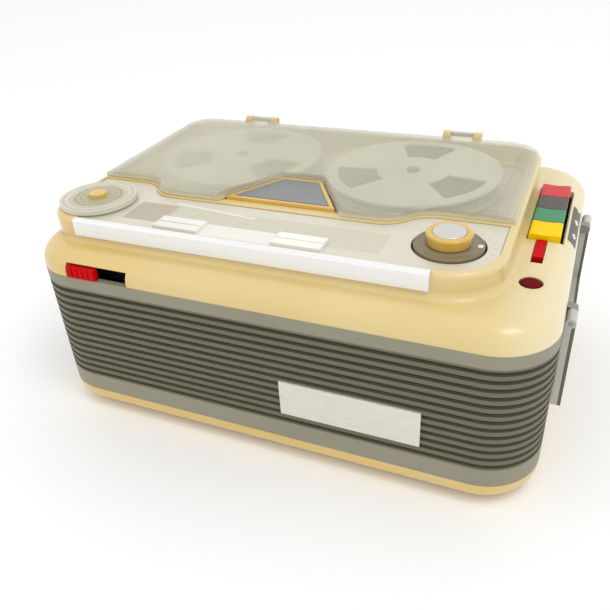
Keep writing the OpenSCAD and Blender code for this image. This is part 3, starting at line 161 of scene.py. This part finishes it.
class RecorderStage(bpy.types.PropertyGroup):
    """Camera, light and floor."""

    camera_place: place("Camera", "Place of the camera", 0.1373, -0.3315, 0.2643)
    camera_turn: FloatVectorProperty(name="Angles", description="Camera's heading, tilt and roll", size=3,
                                     subtype="EULER", unit="ROTATION",
                                     default=[math.radians(a) for a in (24.82, 57.43, -3.72)])
    lens: optics("Lens", "Focal length", 39.31)
    sensor: optics("Sensor", "Width of the sensor", 36)
    near: length("Near", "Distance in front of the camera where the view starts", 10)
    key_place: place("Key light", "Place of the strong lamp", 0.5, -0.25, 1.1)
    key_size: length("Key size", "Side of the strong lamp", 400)
    key_power: power("Key power", "Power of the strong lamp", 2.6)
    fill_place: place("Fill light", "Place of the weak lamp", -0.9, -0.7, 0.7)
    fill_size: length("Fill size", "Side of the weak lamp", 900)
    fill_power: power("Fill power", "Power of the weak lamp", 0.6)
    aim: place("Aim", "Point that both lamps face", 0, 0, 0.08)
    sky: FloatProperty(name="Sky", description="Strength of the even light all round", default=0.98, min=0)
    floor: length("Floor", "Distance from the recorder to the floor's edges", 6000)


def linear(shade):
    """A screen colour as the linear colour that shaders take."""
    return tuple(v / 12.92 if v <= 0.04045 else ((v + 0.055) / 1.055) ** 2.4 for v in shade) + (1.0,)


def shade_of(shade, factor):
    """A darker or lighter version of a screen colour."""
    return tuple(min(v * factor, 1) for v in shade)


class Value:
    """An output socket whose arithmetic adds Math nodes."""

    def __init__(self, nodes, socket):
        self.nodes = nodes
        self.socket = socket

    def maths(self, operation, *inputs):
        """A Math node of these inputs, in their order."""
        return self.nodes.add("ShaderNodeMath", {"operation": operation}, dict(enumerate(inputs)))

    def __add__(self, other):
        return self.maths("ADD", self, other)

    def __radd__(self, other):
        return self.maths("ADD", other, self)

    def __sub__(self, other):
        return self.maths("SUBTRACT", self, other)

    def __rsub__(self, other):
        return self.maths("SUBTRACT", other, self)

    def __mul__(self, other):
        return self.maths("MULTIPLY", self, other)

    def __rmul__(self, other):
        return self.maths("MULTIPLY", other, self)

    def __truediv__(self, other):
        return self.maths("DIVIDE", self, other)

    def __rtruediv__(self, other):
        return self.maths("DIVIDE", other, self)

    def __mod__(self, other):
        return self.maths("FLOORED_MODULO", self, other)

    def __rmod__(self, other):
        return self.maths("FLOORED_MODULO", other, self)

    def __abs__(self):
        return self.maths("ABSOLUTE", self)

    def larger(self, other):
        """The larger of the two."""
        return self.maths("MAXIMUM", self, other)

    def smaller(self, other):
        """The smaller of the two."""
        return self.maths("MINIMUM", self, other)

    def root(self):
        """Square root."""
        return self.maths("SQRT", self)

    def turn(self, other):
        """Angle of the direction whose sideways part is other."""
        return self.maths("ARCTAN2", self, other)

    def step(self, low, high):
        """Smooth step from 0 at low to 1 at high."""
        return self.nodes.add("ShaderNodeMapRange", {"interpolation_type": "SMOOTHSTEP"},
                              {"Value": self, "From Min": low, "From Max": high})

    def between(self, low, high, soft):
        """1 from low to high, with soft ends."""
        return self.step(low - soft, low + soft) * (1 - self.step(high - soft, high + soft))

    def sway(self, amount):
        """A noise from 0 to 1 as one that sways about 0, by the amount from end to end."""
        return (self - 0.5) * amount


class Nodes:
    """A node tree whose nodes are added by one method."""

    def __init__(self, tree):
        self.tree = tree

    def put(self, socket, value):
        """Links a value to an input socket, or sets the number or colour that the socket holds."""
        if isinstance(value, Value):
            self.tree.links.new(value.socket, socket)
        else:
            socket.default_value = value

    def add(self, kind, settings=None, sockets=None, out=0):
        """Adds a node: its settings first, then its sockets. Gives one output, or those in a tuple."""
        node = self.tree.nodes.new(kind)
        for name, value in (settings or {}).items():
            setattr(node, name, value)
        for name, value in (sockets or {}).items():
            self.put(node.inputs[name], value)
        if isinstance(out, tuple):
            return [Value(self, node.outputs[name]) for name in out]
        return Value(self, node.outputs[out])


class Finish(Nodes):
    """A material, with what is the same all over it set on its shader."""

    def __init__(self, name, **constants):
        self.material = bpy.data.materials.new(name)
        self.material.use_nodes = True
        super().__init__(self.material.node_tree)
        self.shader = self.tree.nodes["Principled BSDF"]
        self.feed(**constants)
        self.place = self.add("ShaderNodeTexCoord", out="Object")
        self.x, self.y, self.z = self.add("ShaderNodeSeparateXYZ", None, {0: self.place}, out=("X", "Y", "Z"))

    def feed(self, **sockets):
        """Sets or links the shader's own sockets."""
        for name, value in sockets.items():
            self.put(self.shader.inputs[name.replace("_", " ")], value)
        return self

    def noise(self, size, stretch=(1, 1, 1), detail=2.0):
        """Noise with patches of about this size, longer along the stretched axes."""
        scaled = self.add("ShaderNodeVectorMath", {"operation": "DIVIDE"},
                          {0: self.place, 1: tuple(size * s for s in stretch)})
        return self.add("ShaderNodeTexNoise", None, {"Vector": scaled, "Scale": 1.0, "Detail": detail})

    def mix(self, factor, first, second):
        """Colour from first to second as the factor goes from 0 to 1."""
        shades = [c if isinstance(c, Value) else linear(c) for c in (first, second)]
        # A Mix node's colour sockets share their names with others, so they go by number.
        socket_a, socket_b, result = 6, 7, 2
        return self.add("ShaderNodeMix", {"data_type": "RGBA"},
                        {"Factor": factor, socket_a: shades[0], socket_b: shades[1]}, out=result)

    def relief(self, height, depth, edge=0):
        """Feeds the normal from a height between 0 and 1, with edges softened by a radius if one is given."""
        sockets = {"Height": height, "Distance": depth, "Strength": 1.0}
        if edge:
            sockets["Normal"] = self.add("ShaderNodeBevel", {"samples": 4}, {"Radius": edge})
        return self.feed(Normal=self.add("ShaderNodeBump", None, sockets))

    def ring_distance(self, centre):
        """Distance from an upright axis."""
        across = self.x - centre.x
        along = self.y - centre.y
        return (across * across + along * along).root()


class Studio(Nodes):
    """A world with even light all round, which is seen as a white backdrop."""

    def __init__(self, name, strength):
        self.world = bpy.data.worlds.new(name)
        self.world.use_nodes = True
        super().__init__(self.world.node_tree)
        self.tree.nodes.clear()
        light = self.add("ShaderNodeBackground", None, {"Color": WHITE, "Strength": strength})
        backdrop = self.add("ShaderNodeBackground", None, {"Color": WHITE, "Strength": 1.0})
        rays = ("Is Camera Ray", "Is Glossy Ray", "Is Transmission Ray")
        from_camera, in_gloss, through_clear = self.add("ShaderNodeLightPath", out=rays)
        seen = from_camera.larger(in_gloss).larger(through_clear)
        blend = self.add("ShaderNodeMixShader", None, {0: seen, 1: light, 2: backdrop})
        self.add("ShaderNodeOutputWorld", None, {"Surface": blend}, out=())


def looks():
    """Colours and detail sizes of this scene."""
    return bpy.context.scene.recorder_colours, bpy.context.scene.recorder_detail


def moulded(name, shade, roughness=0.38, grain_depth=0.02 * MM, mottle=0.06, gloss=0.0, specular=0.5):
    """Moulded plastic: a little uneven in colour and gloss, with a fine grain."""
    detail = looks()[1]
    finish = Finish(name, Coat_Roughness=0.15, Specular_IOR_Level=specular)
    patches = finish.noise(40 * MM, detail=3.0)
    specks = finish.noise(detail.grain)
    speckled = specks.step(0.62, 0.8) * 0.25
    tint = finish.mix(patches.step(0.35, 0.7), shade, shade_of(shade, 1 - mottle))
    finish.feed(Base_Color=finish.mix(speckled, tint, shade_of(shade, 0.88)),
                Roughness=roughness + patches.sway(0.1) + specks.sway(0.06),
                Coat_Weight=gloss * (0.7 + patches * 0.6) if gloss else 0.0)
    return finish.relief(specks, grain_depth, detail.edge)


def metal(name, shade, roughness=0.3, along=(1, 1, 1), depth=0.004 * MM, shine=1.0, streak=0.1):
    """Metal with a drawn or turned finish, whose lines are longest along one axis."""
    detail = looks()[1]
    finish = Finish(name, Metallic=shine)
    lines = finish.noise(detail.brush, along, 3.0)
    dull = finish.noise(20 * MM, detail=3.0)
    finish.feed(Base_Color=finish.mix(lines.step(0.3, 0.75), shade_of(shade, 1 - streak), shade),
                Roughness=roughness + dull.sway(0.12) + lines.sway(0.1))
    return finish.relief(lines, depth, detail.edge)


def spun_metal(name, shade, centre, roughness=0.22):
    """Metal turned on a lathe: rings round an upright axis."""
    detail = looks()[1]
    finish = Finish(name, Metallic=0.85)
    pitch = 2.5 * detail.brush
    wobble = finish.noise(2 * MM) * 0.6
    rings = (finish.ring_distance(centre) / pitch + wobble) % 1.0
    finish.feed(Base_Color=finish.mix(rings.between(0.3, 0.7, 0.15), shade_of(shade, 0.9), shade),
                Roughness=roughness + rings.between(0.25, 0.75, 0.2) * 0.12)
    return finish.relief(rings.between(0.3, 0.7, 0.2), 0.012 * MM, detail.edge)


def cream_case():
    """Cream case plastic, yellower in patches and low down, with painted shade towards the left, a painted
    paler right end, and dust where the parts meet.
    """
    colours, detail = looks()
    dust_reach = 0.6 * MM
    pale_end = 30 * MM
    low_edge = 2 * MM
    finish = Finish("cream_case", Coat_Roughness=0.12)
    patches = finish.noise(110 * MM)
    specks = finish.noise(detail.grain)
    handling = finish.noise(12 * MM, (3, 1, 1), 4.0)
    dust = 1 - abs(finish.z - SEAM_Z).step(0.0, dust_reach)
    # Painted shade: the left end of the case is tinted darker and yellower.
    left_shade = 1 - finish.x.step(BAND_LOW.x, BAND_HIGH.x)
    low = 1 - finish.z.step(BAND_LOW.z - low_edge, BAND_LOW.z + low_edge)
    # Painted light: the right end of the case is tinted paler, as if lit from above.
    right_light = finish.x.step(BAND_HIGH.x - pale_end, BAND_HIGH.x) * (1 - low)
    # The yellowed mix holds random yellowed patches, the painted shade at the left end and a yellower tint
    # low down.
    yellowed = patches.step(0.3, 0.72) * 0.5 + left_shade * 0.5 + low * 0.6
    tint = finish.mix(yellowed, colours.cream, colours.cream_yellow_and_shade)
    tint = finish.mix(right_light * 0.7, tint, colours.cream_lit)
    tint = finish.mix(dust * 0.45, tint, shade_of(colours.cream_yellow_and_shade, 0.62))
    tint = finish.mix(specks.step(0.66, 0.85) * 0.12, tint, shade_of(colours.cream_yellow_and_shade, 0.85))
    finish.feed(Base_Color=tint,
                Roughness=0.3 + handling.step(0.4, 0.8) * 0.14 + specks.sway(0.04),
                Coat_Weight=0.3 + patches * 0.15)
    return finish.relief(specks, 0.004 * MM, detail.edge)


def ribbed_waist():
    """Grey waist plastic, with painted shade over the ribbed front and deeper painted shade in its grooves,
    which are also duller.
    """
    colours, detail = looks()
    first_groove = 9.2 * MM
    pitch = 4.6 * MM
    groove_count = 13
    half_groove = 1.04 * MM
    corner = 30 * MM
    fade, soft = 2 * MM, 0.1 * MM
    finish = Finish("ribbed_waist")
    specks = finish.noise(detail.grain)
    patches = finish.noise(50 * MM, detail=3.0)
    drop = SEAM_Z - first_groove - finish.z
    row = abs((drop + pitch / 2) % pitch - pitch / 2)
    ribbed = drop.between(-pitch / 2, (groove_count - 0.5) * pitch, soft)
    front = 1 - finish.y.step(BAND_LOW.y + corner - fade, BAND_LOW.y + corner)
    # Painted shade: the bottoms of the grooves are tinted dark, and they are also made duller.
    groove_shade = (1 - row.step(half_groove * 0.75, half_groove * 1.1)) * ribbed * front
    # Painted shade: the ribbed front is tinted darker than the plain strips.
    tint = finish.mix(ribbed * front, colours.waist, colours.rib)
    tint = finish.mix(patches.step(0.4, 0.75) * 0.12, tint, shade_of(colours.rib, 0.9))
    finish.feed(Base_Color=finish.mix(groove_shade, tint, colours.groove_shade),
                Roughness=0.5 + groove_shade * 0.3 + specks.sway(0.1))
    return finish.relief(specks, 0.012 * MM, detail.edge)


def control_ticks(finish, soft):
    """Short printed strokes round the double knob, evenly spaced along part of its ring."""
    low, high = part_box("control_cup")
    inner = (high.x - low.x) / 2 + 1.4 * MM
    outer = inner + 1.6 * MM
    half_stroke = 0.15 * MM
    pitch = math.radians(15)
    first, last, soft_angle = math.radians(-45), math.radians(150), 0.01
    strength = 0.7
    away = finish.ring_distance(KNOB)
    angle = (finish.y - KNOB.y).turn(finish.x - KNOB.x)
    across = abs(angle % pitch - pitch / 2) * away
    stroke = 1 - across.step(half_stroke, 2 * half_stroke)
    return away.between(inner, outer, soft) * stroke * angle.between(first, last, soft_angle) * strength


def glare_and_line(finish, soft):
    """Painted glare on the field between the raised bars, and a pale line slanting from the dial to the head
    cover.
    """
    low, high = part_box("legend_bars")
    bar_length = 26 * MM
    start, end = Vector((-68, -46.8)) * MM, Vector((-17, -53)) * MM
    line_core, line_edge = 0.5 * MM, 0.9 * MM
    slope = (end.y - start.y) / (end.x - start.x)
    # Painted highlight: the field between the two raised bars is glare, tinted ivory.
    painted_glare = finish.x.between(low.x + bar_length, high.x - bar_length, soft)
    painted_glare = painted_glare * finish.y.between(low.y, high.y, soft)
    away = abs(finish.y - start.y - (finish.x - start.x) * slope)
    line = (1 - away.step(line_core, line_edge)) * finish.x.between(start.x, end.x, soft)
    return painted_glare.larger(line)


def printed_panel():
    """Brushed light panel with a field of fine printed lines, and painted glare between the raised bars."""
    colours, detail = looks()
    field_left, field_right = -88 * MM, 56 * MM
    field_front, field_back = -71 * MM, -50 * MM
    dark_width, dark_fade = 22 * MM, 4 * MM
    soft = 0.12 * MM
    wash, line_ink, dark_ink, most_ink = 0.1, 0.34, 0.5, 0.8
    finish = Finish("printed_panel", Metallic=0.35)
    lines = finish.noise(detail.brush, (60, 1, 1), 3.0)
    cloud = finish.noise(30 * MM, detail=3.0)
    field = finish.x.between(field_left, field_right, soft) * finish.y.between(field_front, field_back, soft)
    row = abs(finish.y % detail.print_pitch - detail.print_pitch / 2)
    stroke = 1 - row.step(detail.print_width / 2 - soft / 2, detail.print_width / 2 + soft / 2)
    dark_end = 1 - finish.x.step(field_left + dark_width, field_left + dark_width + dark_fade)
    ink = field * (wash + stroke * line_ink + dark_end * dark_ink) + control_ticks(finish, soft)
    tint = finish.mix(lines.step(0.3, 0.75) * 0.5, colours.panel, shade_of(colours.panel, 0.93))
    tint = finish.mix(ink.smaller(most_ink), tint, colours.print_ink)
    # Painted highlight: the glare between the raised bars, and the pale slanting line, tinted ivory.
    finish.feed(Base_Color=finish.mix(glare_and_line(finish, soft) * 0.85, tint, colours.ivory),
                Roughness=0.36 + lines.sway(0.14) + cloud.sway(0.12))
    return finish.relief(lines, 0.003 * MM, detail.edge)


def milky_lid():
    """Milky clear lid, denser in its walls and to the left, with fine scratches in its gloss."""
    colours = looks()[0]
    low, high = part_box("lid")
    wall_low, wall_high = low.z + 0.4 * MM, high.z - 0.6 * MM
    finish = Finish("milky_lid", Coat_Roughness=0.1, IOR=1.49)
    cloud = finish.noise(60 * MM, detail=3.0)
    wear = finish.noise(4 * MM, detail=3.0)
    hazed = 1 - finish.x.step(low.x, high.x)
    wall = 1 - finish.z.step(wall_low, wall_high)
    finish.feed(Base_Color=finish.mix(cloud.step(0.3, 0.7), colours.lid, shade_of(colours.lid, 0.96)),
                Roughness=0.16 + wear.sway(0.08) + cloud.sway(0.06),
                Coat_Weight=0.4 + cloud.sway(0.2),
                Alpha=0.24 + hazed * 0.2 + wall * 0.3 + cloud.sway(0.06))
    return finish.relief(wear, 0.002 * MM)


def smoky_dial():
    """Smoky clear dial with fine rings, whose tint is deepest round its cap."""
    colours = looks()[0]
    ring_pitch = 6.5 * MM
    smoky_radius, clear_radius = 11 * MM, 19 * MM
    finish = Finish("smoky_dial", IOR=1.49, Coat_Roughness=0.3, Specular_IOR_Level=0.2)
    away = finish.ring_distance(DIAL)
    rings = away / ring_pitch % 1.0
    swirl = finish.noise(10 * MM, detail=3.0)
    smoke, rim = shade_of(colours.waist, 1.38), shade_of(colours.panel, 1.02)
    finish.feed(Base_Color=finish.mix(away.step(smoky_radius, clear_radius), smoke, rim),
                Roughness=0.4 + swirl.sway(0.1),
                Coat_Weight=0.1 + swirl * 0.1,
                Alpha=0.72 + rings.between(0.25, 0.75, 0.2) * 0.1)
    return finish.relief(rings.between(0.46, 0.54, 0.04), 0.004 * MM)


def wound_tape():
    """Brown tape wound in a pack: fine rings and a satin sheen."""
    colours = looks()[0]
    layer_pitch = 0.35 * MM
    band_width = 2.5 * MM
    finish = Finish("wound_tape")
    away = finish.ring_distance(TAKE_UP)
    wobble = finish.noise(4 * MM) * 1.5
    layers = (away / layer_pitch + wobble) % 1.0
    bands = finish.add("ShaderNodeTexNoise", {"noise_dimensions": "1D"},
                       {"W": away / band_width, "Scale": 1.0, "Detail": 2.0})
    shadow = layers.between(0.2, 0.6, 0.2) * 0.2 + bands * 0.4
    ridges = layers.between(0.25, 0.75, 0.25)
    finish.feed(Base_Color=finish.mix(shadow, colours.tape, shade_of(colours.tape, 0.55)),
                Roughness=0.36 + ridges * 0.08)
    return finish.relief(ridges, 0.004 * MM)


def marked_label():
    """Dark strip with small pale marks, one where each two keys meet."""
    colours, detail = looks()
    half_length, half_width = 2.6 * MM, 0.5 * MM
    dot_core, dot_edge = 1.2 * MM, 1.45 * MM
    soft = 0.12 * MM
    low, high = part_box("key_label")
    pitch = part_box("play_key")[0].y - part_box("rewind_key")[0].y
    first = middle("rewind_key").y + pitch / 2
    finish = Finish("marked_label")
    specks = finish.noise(detail.grain)
    along = (finish.y - first + pitch / 2) % pitch - pitch / 2
    height = finish.z - (low.z + high.z) / 2
    bar = along.between(-half_length, half_length, soft) * height.between(-half_width, half_width, soft)
    dot = 1 - (along * along + height * height).root().step(dot_core, dot_edge)
    finish.feed(Base_Color=finish.mix(bar.larger(dot) * 0.85, colours.label, colours.ivory),
                Roughness=0.42 + specks.sway(0.2))
    return finish.relief(specks, 0.01 * MM, detail.edge)


def laminate_board():
    """Brown board laminate with a grid of copper lands."""
    colours = looks()[0]
    grid = 5.08 * MM
    land_core, land_edge = 0.8 * MM, 1.0 * MM
    finish = Finish("laminate_board")
    weave = finish.noise(0.8 * MM, (6, 1, 1))
    across = abs(finish.x % grid - grid / 2)
    along = abs(finish.y % grid - grid / 2)
    land = 1 - (across * across + along * along).root().step(land_core, land_edge)
    laminate = finish.mix(weave, colours.board, shade_of(colours.board, 0.8))
    finish.feed(Base_Color=finish.mix(land, laminate, colours.gold),
                Roughness=0.45 - land * 0.2)
    return finish.relief(weave, 0.01 * MM)


def striped_core():
    """Transformer iron: thin sheets seen edge on."""
    colours = looks()[0]
    sheet_pitch = 0.7 * MM
    finish = Finish("striped_core", Metallic=0.6)
    rust = finish.noise(6 * MM, detail=4.0)
    sheet = finish.y / sheet_pitch % 1.0
    finish.feed(Base_Color=finish.mix(rust.step(0.4, 0.7), colours.core, colours.rust),
                Roughness=0.5 + rust * 0.2)
    return finish.relief(sheet.between(0.2, 0.8, 0.1), 0.1 * MM)


def dress(finish, *nodes):
    """Gives CAD nodes a finish."""
    for name in nodes:
        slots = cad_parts[name].data.materials
        slots.clear()
        slots.append(finish.material)


def put_in_scene(name, data):
    """A new object in the scene's collection."""
    made = bpy.data.objects.new(name, data)
    bpy.context.collection.objects.link(made)
    return made


def piece(name, mesh_builder, finish, body):
    """A new smooth-shaded mesh piece, filled by a function, that rides on a body."""
    mesh = bpy.data.meshes.new(name)
    work = bmesh.new()
    mesh_builder(work)
    bmesh.ops.recalc_face_normals(work, faces=work.faces)
    work.to_mesh(mesh)
    work.free()
    made = put_in_scene(name, mesh)
    mesh.materials.append(finish.material)
    for face in mesh.polygons:
        face.use_smooth = True
    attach(made, body)
    return made


def lathe(work, outline, centre, steps):
    """Closed solid turned round an upright axis from an outline of (radius, height) points."""
    angles = [2 * math.pi * i / steps for i in range(steps)]
    rings = []
    for radius, height in outline:
        points = [(centre.x + radius * math.cos(a), centre.y + radius * math.sin(a), height) for a in angles]
        rings.append([work.verts.new(point) for point in (points if radius else points[:1])])
    for lower, upper in zip(rings, rings[1:]):
        for i in range(steps):
            corners = [lower[i % len(lower)], lower[(i + 1) % len(lower)],
                       upper[(i + 1) % len(upper)], upper[i % len(upper)]]
            work.faces.new(list(dict.fromkeys(corners)))


def tone_dot(work):
    """Dot set into the top of the tone ring, with its edge rounded over."""
    ring_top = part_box("tone_ring")[1].z
    centre = KNOB.xy + Vector((14.4, 1.5)) * MM
    radius, crown_radius = 1.5 * MM, 1.3 * MM
    foot, shoulder, crown, top = (ring_top - depth * MM for depth in (1.2, 0.3, 0.15, 0.1))
    outline = [(0, foot), (radius, foot), (radius, shoulder), (crown_radius, crown), (0, top)]
    lathe(work, outline, centre, steps=24)


class RecorderOperator(bpy.types.Operator):
    """Base of the recorder's operators."""

    bl_options = {"REGISTER", "UNDO"}


class RECORDER_OT_case(RecorderOperator):
    """Dresses the base, the waist and the top shell with their feet, screws and badge"""

    bl_idname = "recorder.case"
    bl_label = "Case"

    def execute(self, context):
        colours = looks()[0]
        rubber = shade_of(colours.dark, 1.4)
        dress(cream_case(), "base_tray", "top_shell")
        dress(ribbed_waist(), "cabinet_band")
        dress(moulded("foot_rubber", rubber, roughness=0.7, grain_depth=0.05 * MM), "rubber_feet")
        dress(metal("screw_steel", colours.steel, roughness=0.35), "case_screws", "chassis_screws")
        dress(metal("badge_metal", colours.badge, roughness=0.42, along=(60, 1, 1), shine=0.35),
              "badge_plate")
        return {"FINISHED"}


class RECORDER_OT_handle(RecorderOperator):
    """Dresses the folding handle"""

    bl_idname = "recorder.handle"
    bl_label = "Handle"

    def execute(self, context):
        colours = looks()[0]
        dress(moulded("handle_frame", colours.handle, roughness=0.35, gloss=0.2), "handle_frame")
        dress(moulded("handle_grip", colours.grip, roughness=0.6, grain_depth=0.1 * MM), "handle_cover")
        dress(metal("handle_steel", colours.pin, along=(1, 40, 1)), "handle_pins", "handle_brackets")
        return {"FINISHED"}


class RECORDER_OT_deck(RecorderOperator):
    """Dresses the deck's panel, its bright bar, its raised bars and the head cover"""

    bl_idname = "recorder.deck"
    bl_label = "Deck"

    def execute(self, context):
        colours = looks()[0]
        dress(printed_panel(), "deck_panel")
        dress(metal("bright_trim", colours.trim, along=(400, 1, 1), depth=0.0004 * MM, shine=0.15,
                    streak=0.03), "front_trim")
        dress(moulded("ivory_bars", colours.ivory, roughness=0.3, gloss=0.3), "legend_bars")
        dress(moulded("gold_cover", colours.gold, roughness=0.28, gloss=0.4), "head_cover")
        dress(metal("inlay_plate", colours.inlay, roughness=0.4, along=(50, 1, 1)), "head_cover_plate")
        return {"FINISHED"}


class RECORDER_OT_lid(RecorderOperator):
    """Dresses the lid and its hinge pins"""

    bl_idname = "recorder.lid"
    bl_label = "Lid"

    def execute(self, context):
        dress(milky_lid(), "lid")
        dress(metal("hinge_steel", looks()[0].pin, along=(40, 1, 1)), "lid_hinge_pins")
        return {"FINISHED"}


class RECORDER_OT_reels(RecorderOperator):
    """Dresses the reels, their turntables and the wound tape"""

    bl_idname = "recorder.reels"
    bl_label = "Reels"

    def execute(self, context):
        colours = looks()[0]
        dress(moulded("reel_plastic", colours.reel, roughness=0.3, gloss=0.3), "supply_reel", "take_up_reel")
        dress(moulded("turntable_plastic", colours.label, roughness=0.45), "supply_turntable",
              "take_up_turntable")
        dress(wound_tape(), "tape_pack")
        return {"FINISHED"}


class RECORDER_OT_dials(RecorderOperator):
    """Dresses the clear dial and the double knob, and adds the ring's white dot"""

    bl_idname = "recorder.dials"
    bl_label = "Dials"

    def execute(self, context):
        colours = looks()[0]
        dress(smoky_dial(), "dial_disc")
        dress(moulded("gold_knob", colours.gold, roughness=0.26, gloss=0.5), "dial_cap", "volume_knob")
        dress(spun_metal("spun_cap", colours.cap, KNOB), "volume_cap")
        dress(moulded("ring_plastic", colours.ring, roughness=0.4), "tone_ring")
        dress(moulded("control_black", colours.dark, roughness=0.5), "control_cup", "dial_control")
        dress(metal("control_metal", colours.control, roughness=0.35), "volume_control", "volume_shaft")
        piece("tone_dot", tone_dot, moulded("dot_white", colours.ivory, roughness=0.35), "tone")
        return {"FINISHED"}


class RECORDER_OT_keys(RecorderOperator):
    """Dresses the four keys, their label strip, the red slides and the round button"""

    bl_idname = "recorder.keys"
    bl_label = "Keys"

    def execute(self, context):
        colours = looks()[0]
        smooth = 0.004 * MM
        for name, node in KEYS.items():
            dress(moulded(f"{name}_key", getattr(colours, name), roughness=0.34, grain_depth=smooth,
                          specular=0.06), node)
        dress(marked_label(), "key_label")
        dress(moulded("slide_red", colours.slide, roughness=0.34, grain_depth=smooth, mottle=0.1,
                      specular=0.03), "record_lock", "power_slide")
        dress(moulded("button_red", colours.button, roughness=0.3, grain_depth=smooth, mottle=0.1,
                      specular=0.03), "record_button")
        dress(metal("key_steel", colours.steel, roughness=0.35, along=(1, 40, 1)), "key_shaft",
              "key_brackets")
        dress(moulded("switch_black", colours.dark, roughness=0.5), "power_switch")
        return {"FINISHED"}


class RECORDER_OT_drive(RecorderOperator):
    """Dresses the chassis, the motor drive, the tape heads and the pinch roller"""

    bl_idname = "recorder.drive"
    bl_label = "Drive"

    def execute(self, context):
        colours = looks()[0]
        paint = 0.03 * MM
        dress(moulded("chassis_paint", colours.chassis, roughness=0.45, grain_depth=paint), "chassis_plate")
        dress(moulded("motor_paint", colours.motor, roughness=0.4, grain_depth=paint), "motor")
        dress(metal("turned_brass", colours.brass), "motor_pulley", "shaft_bearings")
        dress(moulded("belt_rubber", colours.dark, roughness=0.65, grain_depth=0.04 * MM), "drive_belt",
              "pinch_roller")
        dress(spun_metal("turned_steel", colours.turned, middle("flywheel")), "flywheel")
        dress(metal("plain_steel", colours.steel, roughness=0.32, along=(20, 1, 1)), "thrust_bracket",
              "pinch_arm", "tape_guides")
        dress(metal("head_metal", colours.record_head, roughness=0.22), "record_head")
        dress(metal("head_dull", colours.erase_head, roughness=0.4), "erase_head")
        return {"FINISHED"}


class RECORDER_OT_electrics(RecorderOperator):
    """Dresses the loudspeaker, the board and its parts, the transformer and the sockets"""

    bl_idname = "recorder.electrics"
    bl_label = "Electrics"

    def execute(self, context):
        colours = looks()[0]
        dress(moulded("speaker_paint", colours.speaker, roughness=0.6, grain_depth=0.08 * MM), "loudspeaker")
        dress(laminate_board(), "circuit_board")
        dress(moulded("part_sleeves", colours.sleeve, roughness=0.35, gloss=0.2), "board_parts")
        dress(striped_core(), "transformer")
        dress(moulded("socket_black", colours.dark, roughness=0.45), "socket_plate")
        return {"FINISHED"}


class RECORDER_OT_stage(RecorderOperator):
    """Makes the floor, the light and the camera"""

    bl_idname = "recorder.stage"
    bl_label = "Stage"

    def execute(self, context):
        settings = context.scene.recorder_stage
        self.make_floor(settings.floor)
        context.scene.world = Studio("studio", settings.sky).world
        aim = Vector(settings.aim)
        self.make_lamp("key_lamp", settings.key_place, settings.key_size, settings.key_power, aim)
        self.make_lamp("fill_lamp", settings.fill_place, settings.fill_size, settings.fill_power, aim)
        context.scene.camera = self.make_camera(settings)
        context.scene.view_settings.view_transform = "Standard"
        return {"FINISHED"}

    def make_floor(self, half):
        mesh = bpy.data.meshes.new("floor")
        corners = [(-half, -half, 0), (half, -half, 0), (half, half, 0), (-half, half, 0)]
        mesh.from_pydata(corners, [], [(0, 1, 2, 3)])
        floor = put_in_scene("floor", mesh)
        finish = Finish("floor_white", Base_Color=FLOOR_WHITE, Roughness=0.9)
        mesh.materials.append(finish.material)

    def make_lamp(self, name, spot, size, watts, aim):
        lamp = put_in_scene(name, bpy.data.lights.new(name, "AREA"))
        lamp.data.size = size
        lamp.data.energy = watts
        lamp.location = spot
        lamp.rotation_mode = "QUATERNION"
        lamp.rotation_quaternion = (aim - Vector(spot)).to_track_quat("-Z", "Y")

    def make_camera(self, settings):
        camera = put_in_scene("camera", bpy.data.cameras.new("camera"))
        camera.data.lens = settings.lens
        camera.data.sensor_width = settings.sensor
        camera.data.clip_start = settings.near
        heading, tilt, roll = (Matrix.Rotation(angle, 4, axis)
                               for angle, axis in zip(settings.camera_turn, "ZXZ"))
        camera.matrix_world = Matrix.Translation(settings.camera_place) @ heading @ tilt @ roll
        return camera


PARTS = ("case", "handle", "deck", "lid", "reels", "dials", "keys", "drive", "electrics", "stage")


class RECORDER_PT_looks(bpy.types.Panel):
    """Lists the recorder's operators and settings"""

    bl_idname = "RECORDER_PT_looks"
    bl_label = "Recorder"
    bl_space_type = "VIEW_3D"
    bl_region_type = "UI"
    bl_category = "Recorder"

    def draw(self, context):
        for part in PARTS:
            self.layout.operator(f"recorder.{part}")
        for group in (context.scene.recorder_colours, context.scene.recorder_detail,
                      context.scene.recorder_stage):
            column = self.layout.column(align=True)
            for name in group.__annotations__:
                column.prop(group, name)


CLASSES = (RecorderColours, RecorderDetail, RecorderStage, RECORDER_OT_case, RECORDER_OT_handle,
           RECORDER_OT_deck, RECORDER_OT_lid, RECORDER_OT_reels, RECORDER_OT_dials, RECORDER_OT_keys,
           RECORDER_OT_drive, RECORDER_OT_electrics, RECORDER_OT_stage, RECORDER_PT_looks)


def register():
    for kind in CLASSES:
        bpy.utils.register_class(kind)
    bpy.types.Scene.recorder_colours = PointerProperty(type=RecorderColours)
    bpy.types.Scene.recorder_detail = PointerProperty(type=RecorderDetail)
    bpy.types.Scene.recorder_stage = PointerProperty(type=RecorderStage)


def unregister():
    del bpy.types.Scene.recorder_stage
    del bpy.types.Scene.recorder_detail
    del bpy.types.Scene.recorder_colours
    for kind in reversed(CLASSES):
        bpy.utils.unregister_class(kind)


def main():
    """Dresses every part of the recorder."""
    register()
    for part in PARTS:
        getattr(bpy.ops.recorder, part)()


if __name__ == "__main__":
    main()
